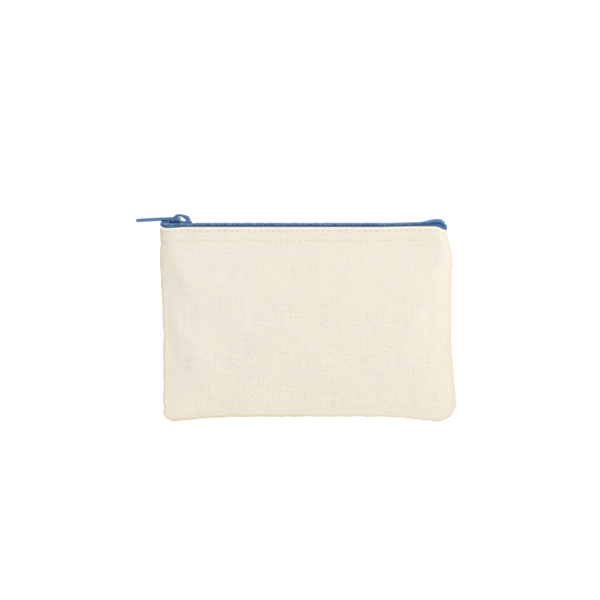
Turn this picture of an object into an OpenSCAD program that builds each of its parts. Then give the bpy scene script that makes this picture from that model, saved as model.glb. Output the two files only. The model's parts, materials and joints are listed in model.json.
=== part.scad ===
// Zippered pouch. Two canvas panels are sewn together along three edges and
// turned right side out, and a nylon coil zip closes the fourth edge.
// The pouch stands on its bottom seam. X runs along the zip, Y through the
// thickness with the front at -Y, and Z up. The origin is in the middle of the
// bottom seam. The zip is closed, with its slider at the left end.

/* [Pouch] */
// Width of the pouch from side seam to side seam
pouch_w = 165; // [120:1:260]
// Height from the bottom seam to the top fold of the panels
pouch_h = 110.5; // [80:0.5:180]
// Thickness of one layer of canvas
canvas_t = 0.65; // [0.4:0.05:0.9]
// Gap between two layers of canvas that lie against each other
ply_gap = 0.05; // [0.02:0.01:0.1]
// Gap between the front and the back half along the seams
seam_gap = 0.3; // [0.25:0.05:0.6]
// Width of the seam allowances inside the pouch
allowance_w = 8.5; // [5:0.5:12]
// Height of the hem that is folded inside the top edge
hem_w = 10.5; // [9:0.5:14]
// Distance from a side seam to where the belly reaches its full depth
belly_run = 26; // [15:1:40]
// Distance from a side seam to where the mouth reaches its full depth
corner_run = 6; // [4:0.5:8]

/* [Zip] */
// Spacing of the coil's turns along one row
coil_pitch = 1.5; // [1.2:0.05:2]
// Width of one coil row, from the middle of the closed zip to its outer edge
coil_w = 2.8; // [2.4:0.1:3.4]
// Height of the coil above the tape
coil_h = 1.7; // [1.4:0.05:2.2]
// How far the coil's heads pass the middle of the closed zip
head_over = 0.35; // [0.25:0.05:0.45]
// Width of the monofilament seen from above
leg_w = 0.52; // [0.4:0.02:0.56]
// Width of the flattened heads of the coil
head_w = 0.72; // [0.6:0.02:0.74]
// Side of the filler cord inside the coil
cord_w = 0.7; // [0.5:0.05:0.9]
// Height of the chain stitch that lies on the coil
stitch_rise = 0.18; // [0.1:0.02:0.25]
// Thickness of the woven tape
tape_t = 0.5; // [0.4:0.05:0.7]
// Depth to which the tapes hang inside the pouch
tape_drop = 13; // [11:0.5:16]
// Length of coil that stands out past the left side seam
coil_out = 1.1; // [0.5:0.1:2]
// Distance from the right side seam to the end of the coil
coil_in = 3; // [2:0.5:6]

/* [Slider] */
// Length of the slider body
slider_l = 11.3; // [10:0.1:14]
// Distance from the left side seam to the slider's nose
nose_in = 5.8; // [5:0.1:12]
// Distance that the slider keeps from the right side seam when the zip is open
travel_stop = 14.9; // [12:0.1:24]
// Thickness of the slider's two plates
plate_t = 0.92; // [0.7:0.02:1.2]
// Thickness of the flanges that hold the coil in
flange_t = 0.55; // [0.4:0.05:0.8]
// Half the width of the post that parts the two rows
post_half = 0.75; // [0.5:0.05:1]
// Running gap between the coil and the slider
run_gap = 0.15; // [0.1:0.01:0.25]
// Height of the bridge above the upper plate
bridge_h = 4.1; // [3.6:0.1:5]
// Width of the bridge
bridge_w = 2.2; // [1.6:0.1:2.8]
// Thickness of the bridge over the pull tab's rung
bridge_t = 1.4; // [1:0.1:1.6]

/* [Pull tab] */
// Length of the pull tab from the hinge to the free end
tab_l = 24.8; // [18:0.1:40]
// Thickness of the pull tab
tab_t = 1.5; // [1.2:0.05:1.6]
// Width of the pull tab at its widest
tab_w = 6.4; // [5.5:0.1:9]
// Distance from the hinge to the far end of the eye
eye_l = 6.9; // [6.8:0.1:9]
// Width of each arm beside the eye
arm_w = 1.2; // [0.9:0.1:1.6]
// Gap between the bridge and each arm
arm_gap = 0.3; // [0.2:0.05:0.5]
// Angle by which the free end hangs lower than the hinge
tab_tilt = 3.4; // [0:0.1:4]

/* [Stitching] */
// Diameter of the sewing thread
thread_d = 0.36; // [0.2:0.02:0.5]
// Spacing of the topstitches
topstitch_pitch = 3.5; // [2.5:0.1:5]
// Gap between two topstitches
topstitch_gap = 0.8; // [0.5:0.1:1.2]
// Distance from the top fold to the upper row of topstitches
upper_row = 2.2; // [1.5:0.1:3]
// Distance from the top fold to the lower row of topstitches
lower_row = 7.7; // [6:0.1:8.5]
// Spacing of the stitches in the side and bottom seams
seam_pitch = 3; // [2:0.1:4]
// Distance from a seam's outer edge to its line of stitches
seam_line = 1.8; // [1.2:0.1:3]
// Width of the overlock thread along the edges of the allowances
overlock_w = 0.5; // [0.3:0.05:0.8]

/* [Hidden] */
canvas_colour = "#eee7d9";
zip_colour = "#6f8fb0";
metal_colour = "#597ba3";
$fn = 32;

// Panels, measured from the middle plane outwards
half_w = pouch_w / 2;
half_gap = seam_gap / 2;
layer = canvas_t + ply_gap;
allowance_step = 0.1;
seam_half = half_gap + canvas_t + layer;
hem_low = pouch_h - hem_w;

// Zip heights
tape_z = pouch_h + ply_gap;
coil_z = tape_z + tape_t;
coil_top = coil_z + coil_h + stitch_rise;

// Slider heights
flange_lift = 0.3;
plate_z = coil_top + run_gap;
plate_top = plate_z + plate_t;
wing_top = tape_z - run_gap;
wing_z = wing_top - plate_t;
flange_z = coil_z + flange_lift;

// Slider lengths, measured from its rear edge towards the nose
slider_rear = -half_w + nose_in + slider_l;
spread_from = 0.27 * slider_l;
flange_l = 0.71 * slider_l;
spread_to = flange_l;
shoulder_l = 0.8 * slider_l;
rung_l = 0.63 * slider_l;
post_ls = [0.53 * slider_l, 0.68 * slider_l, shoulder_l, 0.86 * slider_l];
spread = head_over + post_half + run_gap;
slider_half = coil_w + spread + run_gap + flange_t;
slide_travel = half_w - travel_stop - slider_rear;

// The mouth is as deep as the slider, the tapes and the hems need
mouth_gap = 0.25;
mouth_half = slider_half + mouth_gap + tape_t + ply_gap + canvas_t + layer;

// Pull tab
hinge_x = slider_rear - rung_l;
rung_r = tab_t / 2;
rung_gap = 0.1;
hinge_z = plate_top + bridge_h - bridge_t - rung_r - rung_gap;
bead_r = 0.6 * tab_t;
bead_in = 0.6;
eye_half = bridge_w / 2 + arm_gap;
arm_half = eye_half + arm_w;

// Ends of the zip
coil_left = -half_w - coil_out;
coil_right = half_w - coil_in;
tape_end = 3.5;
tape_reach = half_w - tape_end;
tongue_half = coil_w + 0.2;
band_in = 0.2;
tongue_lap = 0.1;

// Eased step from 0 to 1
function ease(u) = let (c = max(0, min(1, u))) c * c * (3 - 2 * c);

// Numbers from a to b in steps of about s, both ends included
function steps(a, b, s) = let (n = max(1, ceil((b - a) / s))) [for (k = [0:n]) a + (b - a) * k / n];

// Depth of a panel's outer face at height z, away from the side seams
function full_half(z) =
    seam_half + (mouth_half - seam_half) * (1 - pow(1 - min(1, z / hem_low), 2));

// Distance from the side seam to the full depth, at height z
function side_run(z) = belly_run + (corner_run - belly_run) * ease((z / hem_low - 0.6) / 0.4);

// Distance of a panel's outer face from the middle plane
function panel_half(x, z) =
    let (u = min(1, (half_w - abs(x)) / side_run(z)))
    seam_half + (full_half(z) - seam_half) * sin(90 * u);

// How far a coil row stands away from its closed place, at x
function open_at(x) = spread * ease((slider_rear - x - spread_from) / (spread_to - spread_from));

// Outer face of the tape's hanging part, at x, inside the hem that the panel's sections make
function tape_half(x) = lookup(x, mouth_edge) - 2 * layer;

// The points of a list in the opposite order
function reversed(list) = [for (k = [len(list) - 1:-1:0]) list[k]];

// A bent sheet as one closed solid. For each x in xs, sheets holds its outer and
// its inner points, each a list of [y, z] along the bend, in matching pairs.
module sheet_loft(xs, sheets) {
    pairs = len(sheets[0][0]);
    n = 2 * pairs;
    m = len(xs);
    rings = [for (s = sheets) concat(s[0], reversed(s[1]))];
    points = [for (i = [0:m - 1]) for (p = rings[i]) [xs[i], p[0], p[1]]];
    walls = [for (i = [0:m - 2]) for (j = [0:n - 1]) let (k = (j + 1) % n)
        each [[i * n + j, (i + 1) * n + k, (i + 1) * n + j], [i * n + j, i * n + k, (i + 1) * n + k]]];
    first = [for (j = [0:pairs - 2]) [n - 1 - j, n - 2 - j, j + 1, j]];
    last = [for (f = first) [for (j = reversed(f)) (m - 1) * n + j]];
    polyhedron(points, concat(walls, first, last));
}

// ---- Canvas panels ----

wall_steps = 13;
fold_r = canvas_t + ply_gap / 2;
wall_zs = [for (k = [1:wall_steps]) hem_low * pow(k / wall_steps, 1.4)];
hem_zs = [hem_low + hem_w / 2, pouch_h - fold_r];

// Where the side allowances end, and the sections of a panel on each side of there
allowance_x = half_w - allowance_w;
seam_xs = [for (k = [5:-1:0]) half_w - allowance_w * pow(k / 5, 1.5)];
belly_xs = [for (k = [7:-1:0]) (allowance_x - allowance_step) * (1 - pow(k / 8, 1.3))];
right_xs = concat(belly_xs, seam_xs);
panel_xs = concat([for (x = reversed(right_xs)) -x], [0], right_xs);
mouth_edge = [for (x = panel_xs) [x, panel_half(x, pouch_h)]];

// The front panel's sheet at x, from the raw edge of its allowance down to the
// bottom seam, up the face, over the top fold and down the hem
function panel_sheet(x) =
    let (
        raw_z = abs(x) >= allowance_x - 0.01 ? hem_low - ply_gap : allowance_w,
        face = concat(wall_zs, hem_zs),
        top = -panel_half(x, pouch_h) + fold_r,
        arc = [45, 90, 135],
        hem = reversed(concat([hem_low], hem_zs))
    )
    [
        concat(
            [[-half_gap, raw_z], [-half_gap, 0], [-seam_half, 0]],
            [for (z = face) [-panel_half(x, z), z]],
            [for (a = arc) [top - fold_r * cos(a), hem_zs[1] + fold_r * sin(a)]],
            [for (z = hem) [-panel_half(x, z) + canvas_t + layer, z]]
        ),
        concat(
            [[-half_gap - canvas_t, raw_z], [-half_gap - canvas_t, canvas_t], [-seam_half + canvas_t, canvas_t]],
            [for (z = face) [-panel_half(x, z) + canvas_t, z]],
            [for (a = arc) [top - ply_gap / 2 * cos(a), hem_zs[1] + ply_gap / 2 * sin(a)]],
            [for (z = hem) [-panel_half(x, z) + layer, z]]
        )
    ];

module front_panel() {
    color(canvas_colour)
    sheet_loft(panel_xs, [for (x = panel_xs) panel_sheet(x)]);
}

module back_panel() {
    mirror([0, 1, 0]) front_panel();
}

// ---- Zip tapes ----

tape_xs = concat(
    steps(-tape_reach, slider_rear, 1),
    [for (x = steps(slider_rear, tape_reach - 4, 20)) if (x > slider_rear) x],
    steps(tape_reach - 3, tape_reach, 1)
);

// The front tape's sheet at x: flat under the coil, then down inside the hem
function tape_sheet(x) =
    let (inner = half_gap + open_at(x), outer = tape_half(x), low = pouch_h - tape_drop)
    [
        [[-inner, tape_z], [-outer + tape_t, tape_z], [-outer + tape_t, low]],
        [[-inner, coil_z], [-outer, coil_z], [-outer, low]]
    ];

// End of the tape that runs out flat under the coil, from x = a to x = b
module tape_tongue(a, b) {
    inner_edge = [for (x = [a, b]) [x, -half_gap - open_at(x)]];
    outer_edge = [for (x = [b, a]) [x, -tongue_half - open_at(x)]];
    translate([0, 0, tape_z])
        linear_extrude(height = tape_t)
            polygon(concat(inner_edge, outer_edge));
}

module front_tape() {
    color(zip_colour)
    union() {
        sheet_loft(tape_xs, [for (x = tape_xs) tape_sheet(x)]);
        tape_tongue(coil_left + band_in, -tape_reach + tongue_lap);
        tape_tongue(tape_reach - tongue_lap, max(tape_reach, coil_right));
    }
}

module back_tape() {
    mirror([0, 1, 0]) front_tape();
}

// ---- Coils, their filler cords and the stitches that hold them ----

turns = floor((coil_right - coil_left) / coil_pitch - 0.2);
spine_w = 0.5;
head_in = 0.04;
stitch_in = 0.1;
stitch_w = 0.5;
cord_mid = coil_w / 2;
cord_z = coil_z + (coil_h - cord_w) / 2;

// Middle of turn i of the front row; the back row is half a pitch further on
function turn_x(i, shift) = coil_left + coil_pitch * (0.4 + i + shift);

// Outline of turn i, from the spine round the head and back to the spine
function turn_outline(x) =
    let (y = -open_at(x), leg = leg_w / 2, head = head_w / 2)
    [
        [x - leg, y - coil_w + spine_w],
        [x - leg, y - head_over / 2],
        [x - head, y + head_in],
        [x - leg, y + head_over],
        [x + leg, y + head_over],
        [x + head, y + head_in],
        [x + leg, y - head_over / 2],
        [x + leg, y - coil_w + spine_w]
    ];

// A band along the row between two distances from the row's middle line
module row_band(near, far, z, h) {
    xs = tape_band_xs();
    translate([0, 0, z])
        linear_extrude(height = h)
            polygon(concat(
                [for (x = xs) [x, -near - open_at(x)]],
                [for (k = [len(xs) - 1:-1:0]) [xs[k], -far - open_at(xs[k])]]
            ));
}

function tape_band_xs() = concat(
    [coil_left + band_in],
    steps(slider_rear - slider_l, slider_rear, 1),
    [coil_right - band_in]
);

module coil_row(shift) {
    xs = [for (i = [0:turns - 1]) turn_x(i, shift)];
    back_edge = [for (i = [turns - 1:-1:0]) [xs[i], -coil_w - open_at(xs[i])]];
    difference() {
        translate([0, 0, coil_z])
            linear_extrude(height = coil_h)
                polygon(concat([for (x = xs) each turn_outline(x)], back_edge));
        row_band(cord_mid - cord_w / 2 - ply_gap, cord_mid + cord_w / 2 + ply_gap,
                 cord_z - ply_gap, cord_w + 2 * ply_gap);
    }
}

module front_coil() {
    color(zip_colour) coil_row(0);
}

module back_coil() {
    mirror([0, 1, 0]) color(zip_colour) coil_row(0.5);
}

module front_coil_cord() {
    color(zip_colour) row_band(cord_mid - cord_w / 2, cord_mid + cord_w / 2, cord_z, cord_w);
}

module back_coil_cord() {
    mirror([0, 1, 0]) front_coil_cord();
}

module front_coil_thread() {
    color(zip_colour) row_band(cord_mid + stitch_in, cord_mid + stitch_in + stitch_w, coil_z + coil_h, stitch_rise);
}

module back_coil_thread() {
    mirror([0, 1, 0]) front_coil_thread();
}

// ---- Slider ----

rear_round = 0.35;
rear_round_l = 0.8;

// Half width of the slider's channel at distance t from its rear edge
function channel_half(t) = coil_w + open_at(slider_rear - t) + run_gap;

// Half width of the slider's plates at t, rounded off at the rear and the nose
function slider_edge(t) =
    let (full = channel_half(t) + flange_t, nose = max(0, (t - shoulder_l) / (slider_l - shoulder_l)))
    full * sqrt(1 - 0.75 * nose * nose) - rear_round * ease(1 - t / rear_round_l);

// Plan outline from rear to length l, with the given half width function values
module plan(ts, halves) {
    n = len(ts) - 1;
    polygon(concat(
        [for (k = [0:n]) [slider_rear - ts[k], -halves[k]]],
        [for (k = [n:-1:0]) [slider_rear - ts[k], halves[k]]]
    ));
}

plate_ts = steps(0, slider_l, 0.5);
flange_ts = steps(0, flange_l, 0.5);
channel_ts = steps(-0.1, flange_l + 0.1, 0.5);

// Bridge outline over the upper plate, as [distance from the rear, height]
// of a slider of the length that it is drawn for
bridge_drawn_l = 11.3;
bridge_outer = [[0.6, -0.3], [0.9, 1.8], [1.9, 2.9], [4.2, 3.65], [7.1, bridge_h],
                [9.2, 0.9 * bridge_h], [10.6, 2.6], [11.0, -0.3]];
bridge_inner = [[3.3, -0.4], [3.4, 1.9], [4.6, bridge_h - bridge_t - 0.35], [7.1, bridge_h - bridge_t],
                [8.6, bridge_h - bridge_t - 0.3], [9.5, 1.5], [9.7, -0.4]];

module bridge() {
    to_slider = [for (p = bridge_outer) [slider_rear - p[0] * slider_l / bridge_drawn_l, p[1]]];
    to_hole = [for (p = bridge_inner) [slider_rear - p[0] * slider_l / bridge_drawn_l, p[1]]];
    translate([0, bridge_w / 2, plate_top])
        rotate([90, 0, 0])
            linear_extrude(height = bridge_w)
                difference() {
                    polygon(to_slider);
                    polygon(to_hole);
                }
}

module slider_body() {
    color(metal_colour)
    union() {
        translate([0, 0, plate_z])
            linear_extrude(height = plate_t)
                plan(plate_ts, [for (t = plate_ts) slider_edge(t)]);
        translate([0, 0, wing_z])
            linear_extrude(height = plate_t)
                plan(plate_ts, [for (t = plate_ts) slider_edge(t)]);
        difference() {
            translate([0, 0, flange_z])
                linear_extrude(height = plate_z - flange_z)
                    plan(flange_ts, [for (t = flange_ts) slider_edge(t)]);
            translate([0, 0, flange_z - plate_t])
                linear_extrude(height = plate_z - flange_z + 2 * plate_t)
                    plan(channel_ts, [for (t = channel_ts) channel_half(t)]);
        }
        translate([0, 0, wing_z])
            linear_extrude(height = plate_top - wing_z)
                plan(post_ls, [0, post_half, post_half, 0]);
        bridge();
    }
}

// ---- Pull tab ----

waist_in = 0.5;

// Half width of the tab at distance r from the hinge
function tab_half(r) =
    let (
        waist = arm_half - waist_in * ease((r - eye_l) / 2),
        leaf = waist + (tab_w / 2 - waist) * ease((r - eye_l - 2) / 8),
        end = max(0, (r - tab_l + tab_w / 2) / (tab_w / 2))
    )
    leaf * sqrt(max(0, 1 - 0.9 * end * end));

round_from = tab_l - tab_w / 2;
tab_rs = concat(steps(0, eye_l, 3), steps(eye_l + 0.5, round_from, 1), steps(round_from + 0.4, tab_l, 0.4));

module pull_tab() {
    color(metal_colour)
    translate([hinge_x, 0, hinge_z])
    rotate([0, -tab_tilt, 0])
    union() {
        difference() {
            translate([0, 0, -tab_t / 2])
                linear_extrude(height = tab_t)
                    polygon(concat(
                        [for (r = tab_rs) [-r, -tab_half(r)]],
                        [for (k = [len(tab_rs) - 1:-1:0]) [-tab_rs[k], tab_half(tab_rs[k])]]
                    ));
            translate([-eye_l, -eye_half, -tab_t])
                cube([eye_l - rung_r / 2, 2 * eye_half, 2 * tab_t]);
        }
        rotate([90, 0, 0])
            cylinder(r = rung_r, h = 2 * arm_half, center = true);
        translate([-tab_l + bead_in, 0, 0])
            rotate([90, 0, 0])
                cylinder(r = bead_r, h = tab_w / 3, center = true);
    }
}

// ---- Stitching ----

thread_rise = 0.02;
stitch_end = 1.5;
seam_end = 3;
stitch_reach = half_w - corner_run - stitch_end;
topstitches = floor(2 * stitch_reach / topstitch_pitch);

// A row of topstitches on the front panel's outer face, at height z
module topstitch_row(z) {
    first = -topstitches * topstitch_pitch / 2;
    for (i = [0:topstitches - 1])
        translate([first + i * topstitch_pitch + topstitch_gap / 2, -mouth_half - thread_d / 2 - thread_rise, z])
            rotate([0, 90, 0])
                cylinder(d = thread_d, h = topstitch_pitch - topstitch_gap);
}

module front_upper_stitch() {
    color(canvas_colour) topstitch_row(pouch_h - upper_row);
}

module front_lower_stitch() {
    color(canvas_colour) topstitch_row(pouch_h - lower_row);
}

module back_upper_stitch() {
    mirror([0, 1, 0]) front_upper_stitch();
}

module back_lower_stitch() {
    mirror([0, 1, 0]) front_lower_stitch();
}

// Stitches between the two allowances of a seam, along Z from a to b at x = at
module seam_stitches(a, b) {
    n = floor((b - a) / seam_pitch);
    thick = seam_gap - 2 * ply_gap;
    for (i = [0:n - 1])
        translate([-thread_d / 2, -thick / 2, a + i * seam_pitch])
            cube([thread_d, thick, seam_pitch * 0.75]);
}

module left_seam_stitch() {
    color(canvas_colour)
    translate([-half_w + seam_line, 0, 0])
        seam_stitches(2 * seam_line, hem_low - seam_end);
}

module right_seam_stitch() {
    mirror([1, 0, 0]) left_seam_stitch();
}

module bottom_seam_stitch() {
    color(canvas_colour)
    translate([0, 0, seam_line])
        rotate([0, 90, 0])
            seam_stitches(-half_w + 2 * seam_line, half_w - 2 * seam_line);
}

// Overlock thread that binds the two raw edges of a seam, along Z from a to b
module overlock(a, b) {
    reach = half_gap + canvas_t - overlock_w / 2;
    translate([0, 0, a])
        linear_extrude(height = b - a)
            union() {
                square([overlock_w, 2 * reach], center = true);
                translate([0, reach]) circle(d = overlock_w);
                translate([0, -reach]) circle(d = overlock_w);
            }
}

overlock_edge = allowance_w + allowance_step + ply_gap;
overlock_in = overlock_edge + overlock_w / 2;

module left_overlock() {
    color(canvas_colour)
    translate([-half_w + overlock_in, 0, 0])
        overlock(overlock_edge + overlock_w + ply_gap, hem_low - seam_end);
}

module right_overlock() {
    mirror([1, 0, 0]) left_overlock();
}

module bottom_overlock() {
    color(canvas_colour)
    translate([0, 0, overlock_in])
        rotate([0, 90, 0])
            overlock(-half_w + overlock_edge, half_w - overlock_edge);
}

front_panel();
back_panel();
front_tape();
back_tape();
front_coil();
back_coil();
front_coil_cord();
back_coil_cord();
front_coil_thread();
back_coil_thread();
slider_body();
pull_tab();
front_upper_stitch();
front_lower_stitch();
back_upper_stitch();
back_lower_stitch();
left_seam_stitch();
right_seam_stitch();
bottom_seam_stitch();
left_overlock();
right_overlock();
bottom_overlock();
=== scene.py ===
"""Looks of a zippered canvas pouch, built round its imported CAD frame.

All shapes are worked out in millimetres, in the frame's own axes: X along the zip, Y through the
thickness with the front at -Y, and Z up from the bottom seam. They become metres as a mesh is made.
"""

import json
import logging
import math
from collections.abc import Callable, Sequence
from dataclasses import dataclass
from enum import Enum

import bmesh
import bpy
import numpy as np
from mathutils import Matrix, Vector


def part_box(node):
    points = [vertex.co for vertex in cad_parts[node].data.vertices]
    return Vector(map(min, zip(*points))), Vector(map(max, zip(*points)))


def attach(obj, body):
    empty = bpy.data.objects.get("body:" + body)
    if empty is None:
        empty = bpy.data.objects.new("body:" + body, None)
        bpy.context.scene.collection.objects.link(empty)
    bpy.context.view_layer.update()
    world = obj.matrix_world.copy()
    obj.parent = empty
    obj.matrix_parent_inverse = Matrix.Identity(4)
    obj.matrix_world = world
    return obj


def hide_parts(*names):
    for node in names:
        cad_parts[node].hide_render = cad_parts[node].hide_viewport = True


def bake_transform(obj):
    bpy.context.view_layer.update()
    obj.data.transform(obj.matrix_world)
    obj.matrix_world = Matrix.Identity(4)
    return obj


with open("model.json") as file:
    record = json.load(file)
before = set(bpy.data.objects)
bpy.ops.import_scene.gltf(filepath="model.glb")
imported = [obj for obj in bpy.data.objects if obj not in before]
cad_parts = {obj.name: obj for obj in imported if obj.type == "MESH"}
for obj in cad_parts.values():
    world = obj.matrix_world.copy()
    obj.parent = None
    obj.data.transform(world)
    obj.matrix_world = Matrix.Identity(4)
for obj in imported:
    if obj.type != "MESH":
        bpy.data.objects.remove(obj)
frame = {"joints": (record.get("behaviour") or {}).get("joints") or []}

MM = 0.001
WAVE_SCALE = 2 * math.pi / 10  # a diagonal wave texture then has one band for each unit
LOG = logging.getLogger("pouch")
Shape = tuple[np.ndarray, list[list[int]]]  # points in millimetres, and corner numbers of each face


class Side(Enum):
    """Which of the two halves of the pouch a piece belongs to."""

    FRONT = -1
    BACK = 1


class Hand(Enum):
    """Left or right part of a piece that spans the whole mouth."""

    LEFT = -1
    RIGHT = 1


# ---- Small helpers ----


def srgb(code: str) -> tuple[float, float, float, float]:
    """Turns an sRGB hex colour into the linear colour that a shader takes.

    Args:
        code: Six hex digits after a hash.

    Returns:
        Red, green, blue and an alpha of one.
    """
    parts = [int(code[i:i + 2], 16) / 255 for i in (1, 3, 5)]
    linear = [c / 12.92 if c <= 0.04045 else ((c + 0.055) / 1.055) ** 2.4 for c in parts]
    return (linear[0], linear[1], linear[2], 1.0)


def ease(u: np.ndarray | float) -> np.ndarray:
    """Steps smoothly from 0 to 1 as u goes from 0 to 1."""
    c = np.clip(u, 0.0, 1.0)
    return c * c * (3 - 2 * c)


def bump(u: np.ndarray | float) -> np.ndarray:
    """Draws a bell curve of height 1 that reaches about 1 each way."""
    return np.exp(-np.square(u))


def waves(a: np.ndarray, b: np.ndarray, size: float, seed: int, count: int = 14) -> np.ndarray:
    """Soft irregular relief from a sum of waves in random directions.

    Args:
        a: First coordinate in millimetres.
        b: Second coordinate in millimetres.
        size: Typical distance between two crests in millimetres.
        seed: Seed of the random directions and phases.
        count: Number of waves.

    Returns:
        Relief with a spread of about one.
    """
    rng = np.random.default_rng(seed)
    total = np.zeros(np.broadcast(a, b).shape)
    for angle, stretch, phase in rng.random((count, 3)):
        turn = 2 * math.pi * angle
        k = 2 * math.pi / (size * (0.6 + 1.2 * stretch))
        total += np.sin(k * (a * math.cos(turn) + b * math.sin(turn)) + 2 * math.pi * phase)
    return total / math.sqrt(count / 2)


def feed(tree: bpy.types.NodeTree, node: bpy.types.Node, links: dict[str | int, object]) -> None:
    """Sets a shader node's inputs.

    Args:
        tree: Node tree that holds the node.
        node: The node.
        links: For each input, the output socket that feeds it, or its plain value.
    """
    for socket, value in links.items():
        if isinstance(value, bpy.types.NodeSocket):
            tree.links.new(value, node.inputs[socket])
        else:
            node.inputs[socket].default_value = value


def add(
    tree: bpy.types.NodeTree,
    kind: str,
    links: dict[str | int, object] | None = None,
    **settings: object,
) -> bpy.types.Node:
    """Adds a shader node with its settings, values and links.

    Args:
        tree: Node tree that takes the node.
        kind: Type of the node.
        links: For each input, the output socket that feeds it, or its plain value.
        **settings: Attributes of the node.

    Returns:
        The new node.
    """
    made = tree.nodes.new(kind)
    for name, value in settings.items():
        setattr(made, name, value)
    feed(tree, made, links or {})
    return made


def empty_material(name: str) -> tuple[bpy.types.Material, bpy.types.NodeTree, bpy.types.Node]:
    """Makes a material with a Principled shader wired to its output.

    Args:
        name: Name of the material.

    Returns:
        The material, its node tree and its shader.
    """
    made = bpy.data.materials.new(name)
    made.use_nodes = True
    tree = made.node_tree
    tree.nodes.clear()
    shader = add(tree, "ShaderNodeBsdfPrincipled")
    add(tree, "ShaderNodeOutputMaterial", {"Surface": shader.outputs[0]})
    return made, tree, shader


def ramp(node: bpy.types.Node, stops: Sequence[tuple[float, str]]) -> bpy.types.NodeSocket:
    """Sets a colour ramp's stops.

    Args:
        node: The colour ramp node.
        stops: Place and sRGB colour of each stop.

    Returns:
        The ramp's colour output.
    """
    elements = node.color_ramp.elements
    while len(elements) < len(stops):
        elements.new(0.5)
    for element, (place, code) in zip(elements, stops):
        element.position = place
        element.color = srgb(code)
    return node.outputs["Color"]


def piece(
    name: str,
    points: np.ndarray,
    faces: Sequence[Sequence[int]],
    material: bpy.types.Material,
    smooth: bool = True,
) -> bpy.types.Object:
    """Makes one mesh object.

    Args:
        name: Name of the piece.
        points: Corners in millimetres, one row each.
        faces: Corner numbers of each face.
        material: Finish of the piece.
        smooth: Whether the faces are shaded as one smooth surface.

    Returns:
        The object, which stands in the scene but rides on nothing yet.
    """
    mesh = bpy.data.meshes.new(name)
    mesh.from_pydata((np.asarray(points, float) * MM).tolist(), [], faces)
    mesh.materials.append(material)
    mesh.validate()
    if smooth:
        mesh.shade_smooth()
    made = bpy.data.objects.new(name, mesh)
    bpy.context.scene.collection.objects.link(made)
    return made


def enter(node: str) -> None:
    """Hides the CAD node that a piece stands for."""
    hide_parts(node)


def freeze(obj: bpy.types.Object) -> bpy.types.Object:
    """Turns an object's modifiers, or a curve, into a plain final mesh.

    Args:
        obj: A mesh or curve object.

    Returns:
        The object, or the mesh object that took its place and its name.
    """
    bpy.context.view_layer.update()
    solved = obj.evaluated_get(bpy.context.evaluated_depsgraph_get())
    mesh = bpy.data.meshes.new_from_object(solved)
    name = obj.name
    materials = list(obj.data.materials)
    bpy.data.objects.remove(obj)
    made = bpy.data.objects.new(name, mesh)
    mesh.name = name
    if not mesh.materials:
        for material in materials:
            mesh.materials.append(material)
    bpy.context.scene.collection.objects.link(made)
    return made


def cloth_sheet(
    name: str,
    middle: Shape,
    threads: np.ndarray,
    tone: np.ndarray | None,
    thick_mm: float,
    material: bpy.types.Material,
) -> bpy.types.Object:
    """Makes a sheet of cloth of even thickness round its middle surface.

    Args:
        name: Name of the piece.
        middle: Points and faces of the middle surface. Points that no face uses are dropped.
        threads: Place of each point on the flat cut, in millimetres, which the weave follows.
        tone: Painted highlight, up to 1, or painted shade, down to -1, at each point.
        thick_mm: Thickness.
        material: Finish of the cloth.

    Returns:
        The sheet, with its final mesh.
    """
    points, faces = middle
    used = sorted({i for f in faces for i in f})
    renumber = {old: new for new, old in enumerate(used)}
    whole = piece(name, points[used], [[renumber[i] for i in f] for f in faces], material)
    layer = whole.data.attributes.new("cloth_mm", "FLOAT_VECTOR", "POINT")
    layer.data.foreach_set("vector", threads[used].astype(np.float32).ravel())
    if tone is not None:
        layer = whole.data.attributes.new("edge_tone", "FLOAT", "POINT")
        layer.data.foreach_set("value", tone[used].astype(np.float32))
    thick = whole.modifiers.new("thickness", "SOLIDIFY")
    thick.thickness = thick_mm * MM
    thick.offset = 0
    return freeze(whole)


def split_at_middle(obj: bpy.types.Object, name: str) -> dict[Hand, bpy.types.Object]:
    """Parts a cloth mesh at the middle of the mouth, with the shading of the whole kept.

    Args:
        obj: Final mesh with its cloth_mm coordinates. It is removed.
        name: Name of the two halves, before left and right.

    Returns:
        The left and the right half.
    """
    whole = obj.data
    normals = np.zeros(len(whole.vertices) * 3, np.float32)
    whole.vertices.foreach_get("normal", normals)
    whole.attributes.new("whole_normal", "FLOAT_VECTOR", "POINT").data.foreach_set("vector", normals)
    made = {}
    for hand in Hand:
        mesh = whole.copy()
        # The cloth's second face repeats the first one's corners in the same order
        shape = bmesh.new()
        shape.from_mesh(mesh)
        cloth = shape.verts.layers.float_vector["cloth_mm"]
        corners = list(shape.verts)
        number = {corner: i for i, corner in enumerate(corners)}
        layer = len(corners) // 2
        wrong = [f for f in shape.faces if hand.value * sum(v[cloth][0] for v in f.verts) < 0]
        bmesh.ops.delete(shape, geom=wrong, context="FACES")
        rim = [e for e in shape.edges if e.is_boundary and max(number[v] for v in e.verts) < layer]
        for edge in rim:
            loop = edge.link_loops[0]
            a, b = loop.vert, loop.link_loop_next.vert
            shape.faces.new((b, a, corners[number[a] + layer], corners[number[b] + layer]))
        shape.to_mesh(mesh)
        shape.free()
        kept = np.zeros(len(mesh.vertices) * 3, np.float32)
        mesh.attributes["whole_normal"].data.foreach_get("vector", kept)
        mesh.attributes.remove(mesh.attributes["whole_normal"])
        mesh.normals_split_custom_set_from_vertices(kept.reshape(-1, 3).tolist())
        half = bpy.data.objects.new(f"{name}_{hand.name.lower()}", mesh)
        mesh.name = half.name
        bpy.context.scene.collection.objects.link(half)
        made[hand] = half
    bpy.data.objects.remove(obj)
    return made


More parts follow.
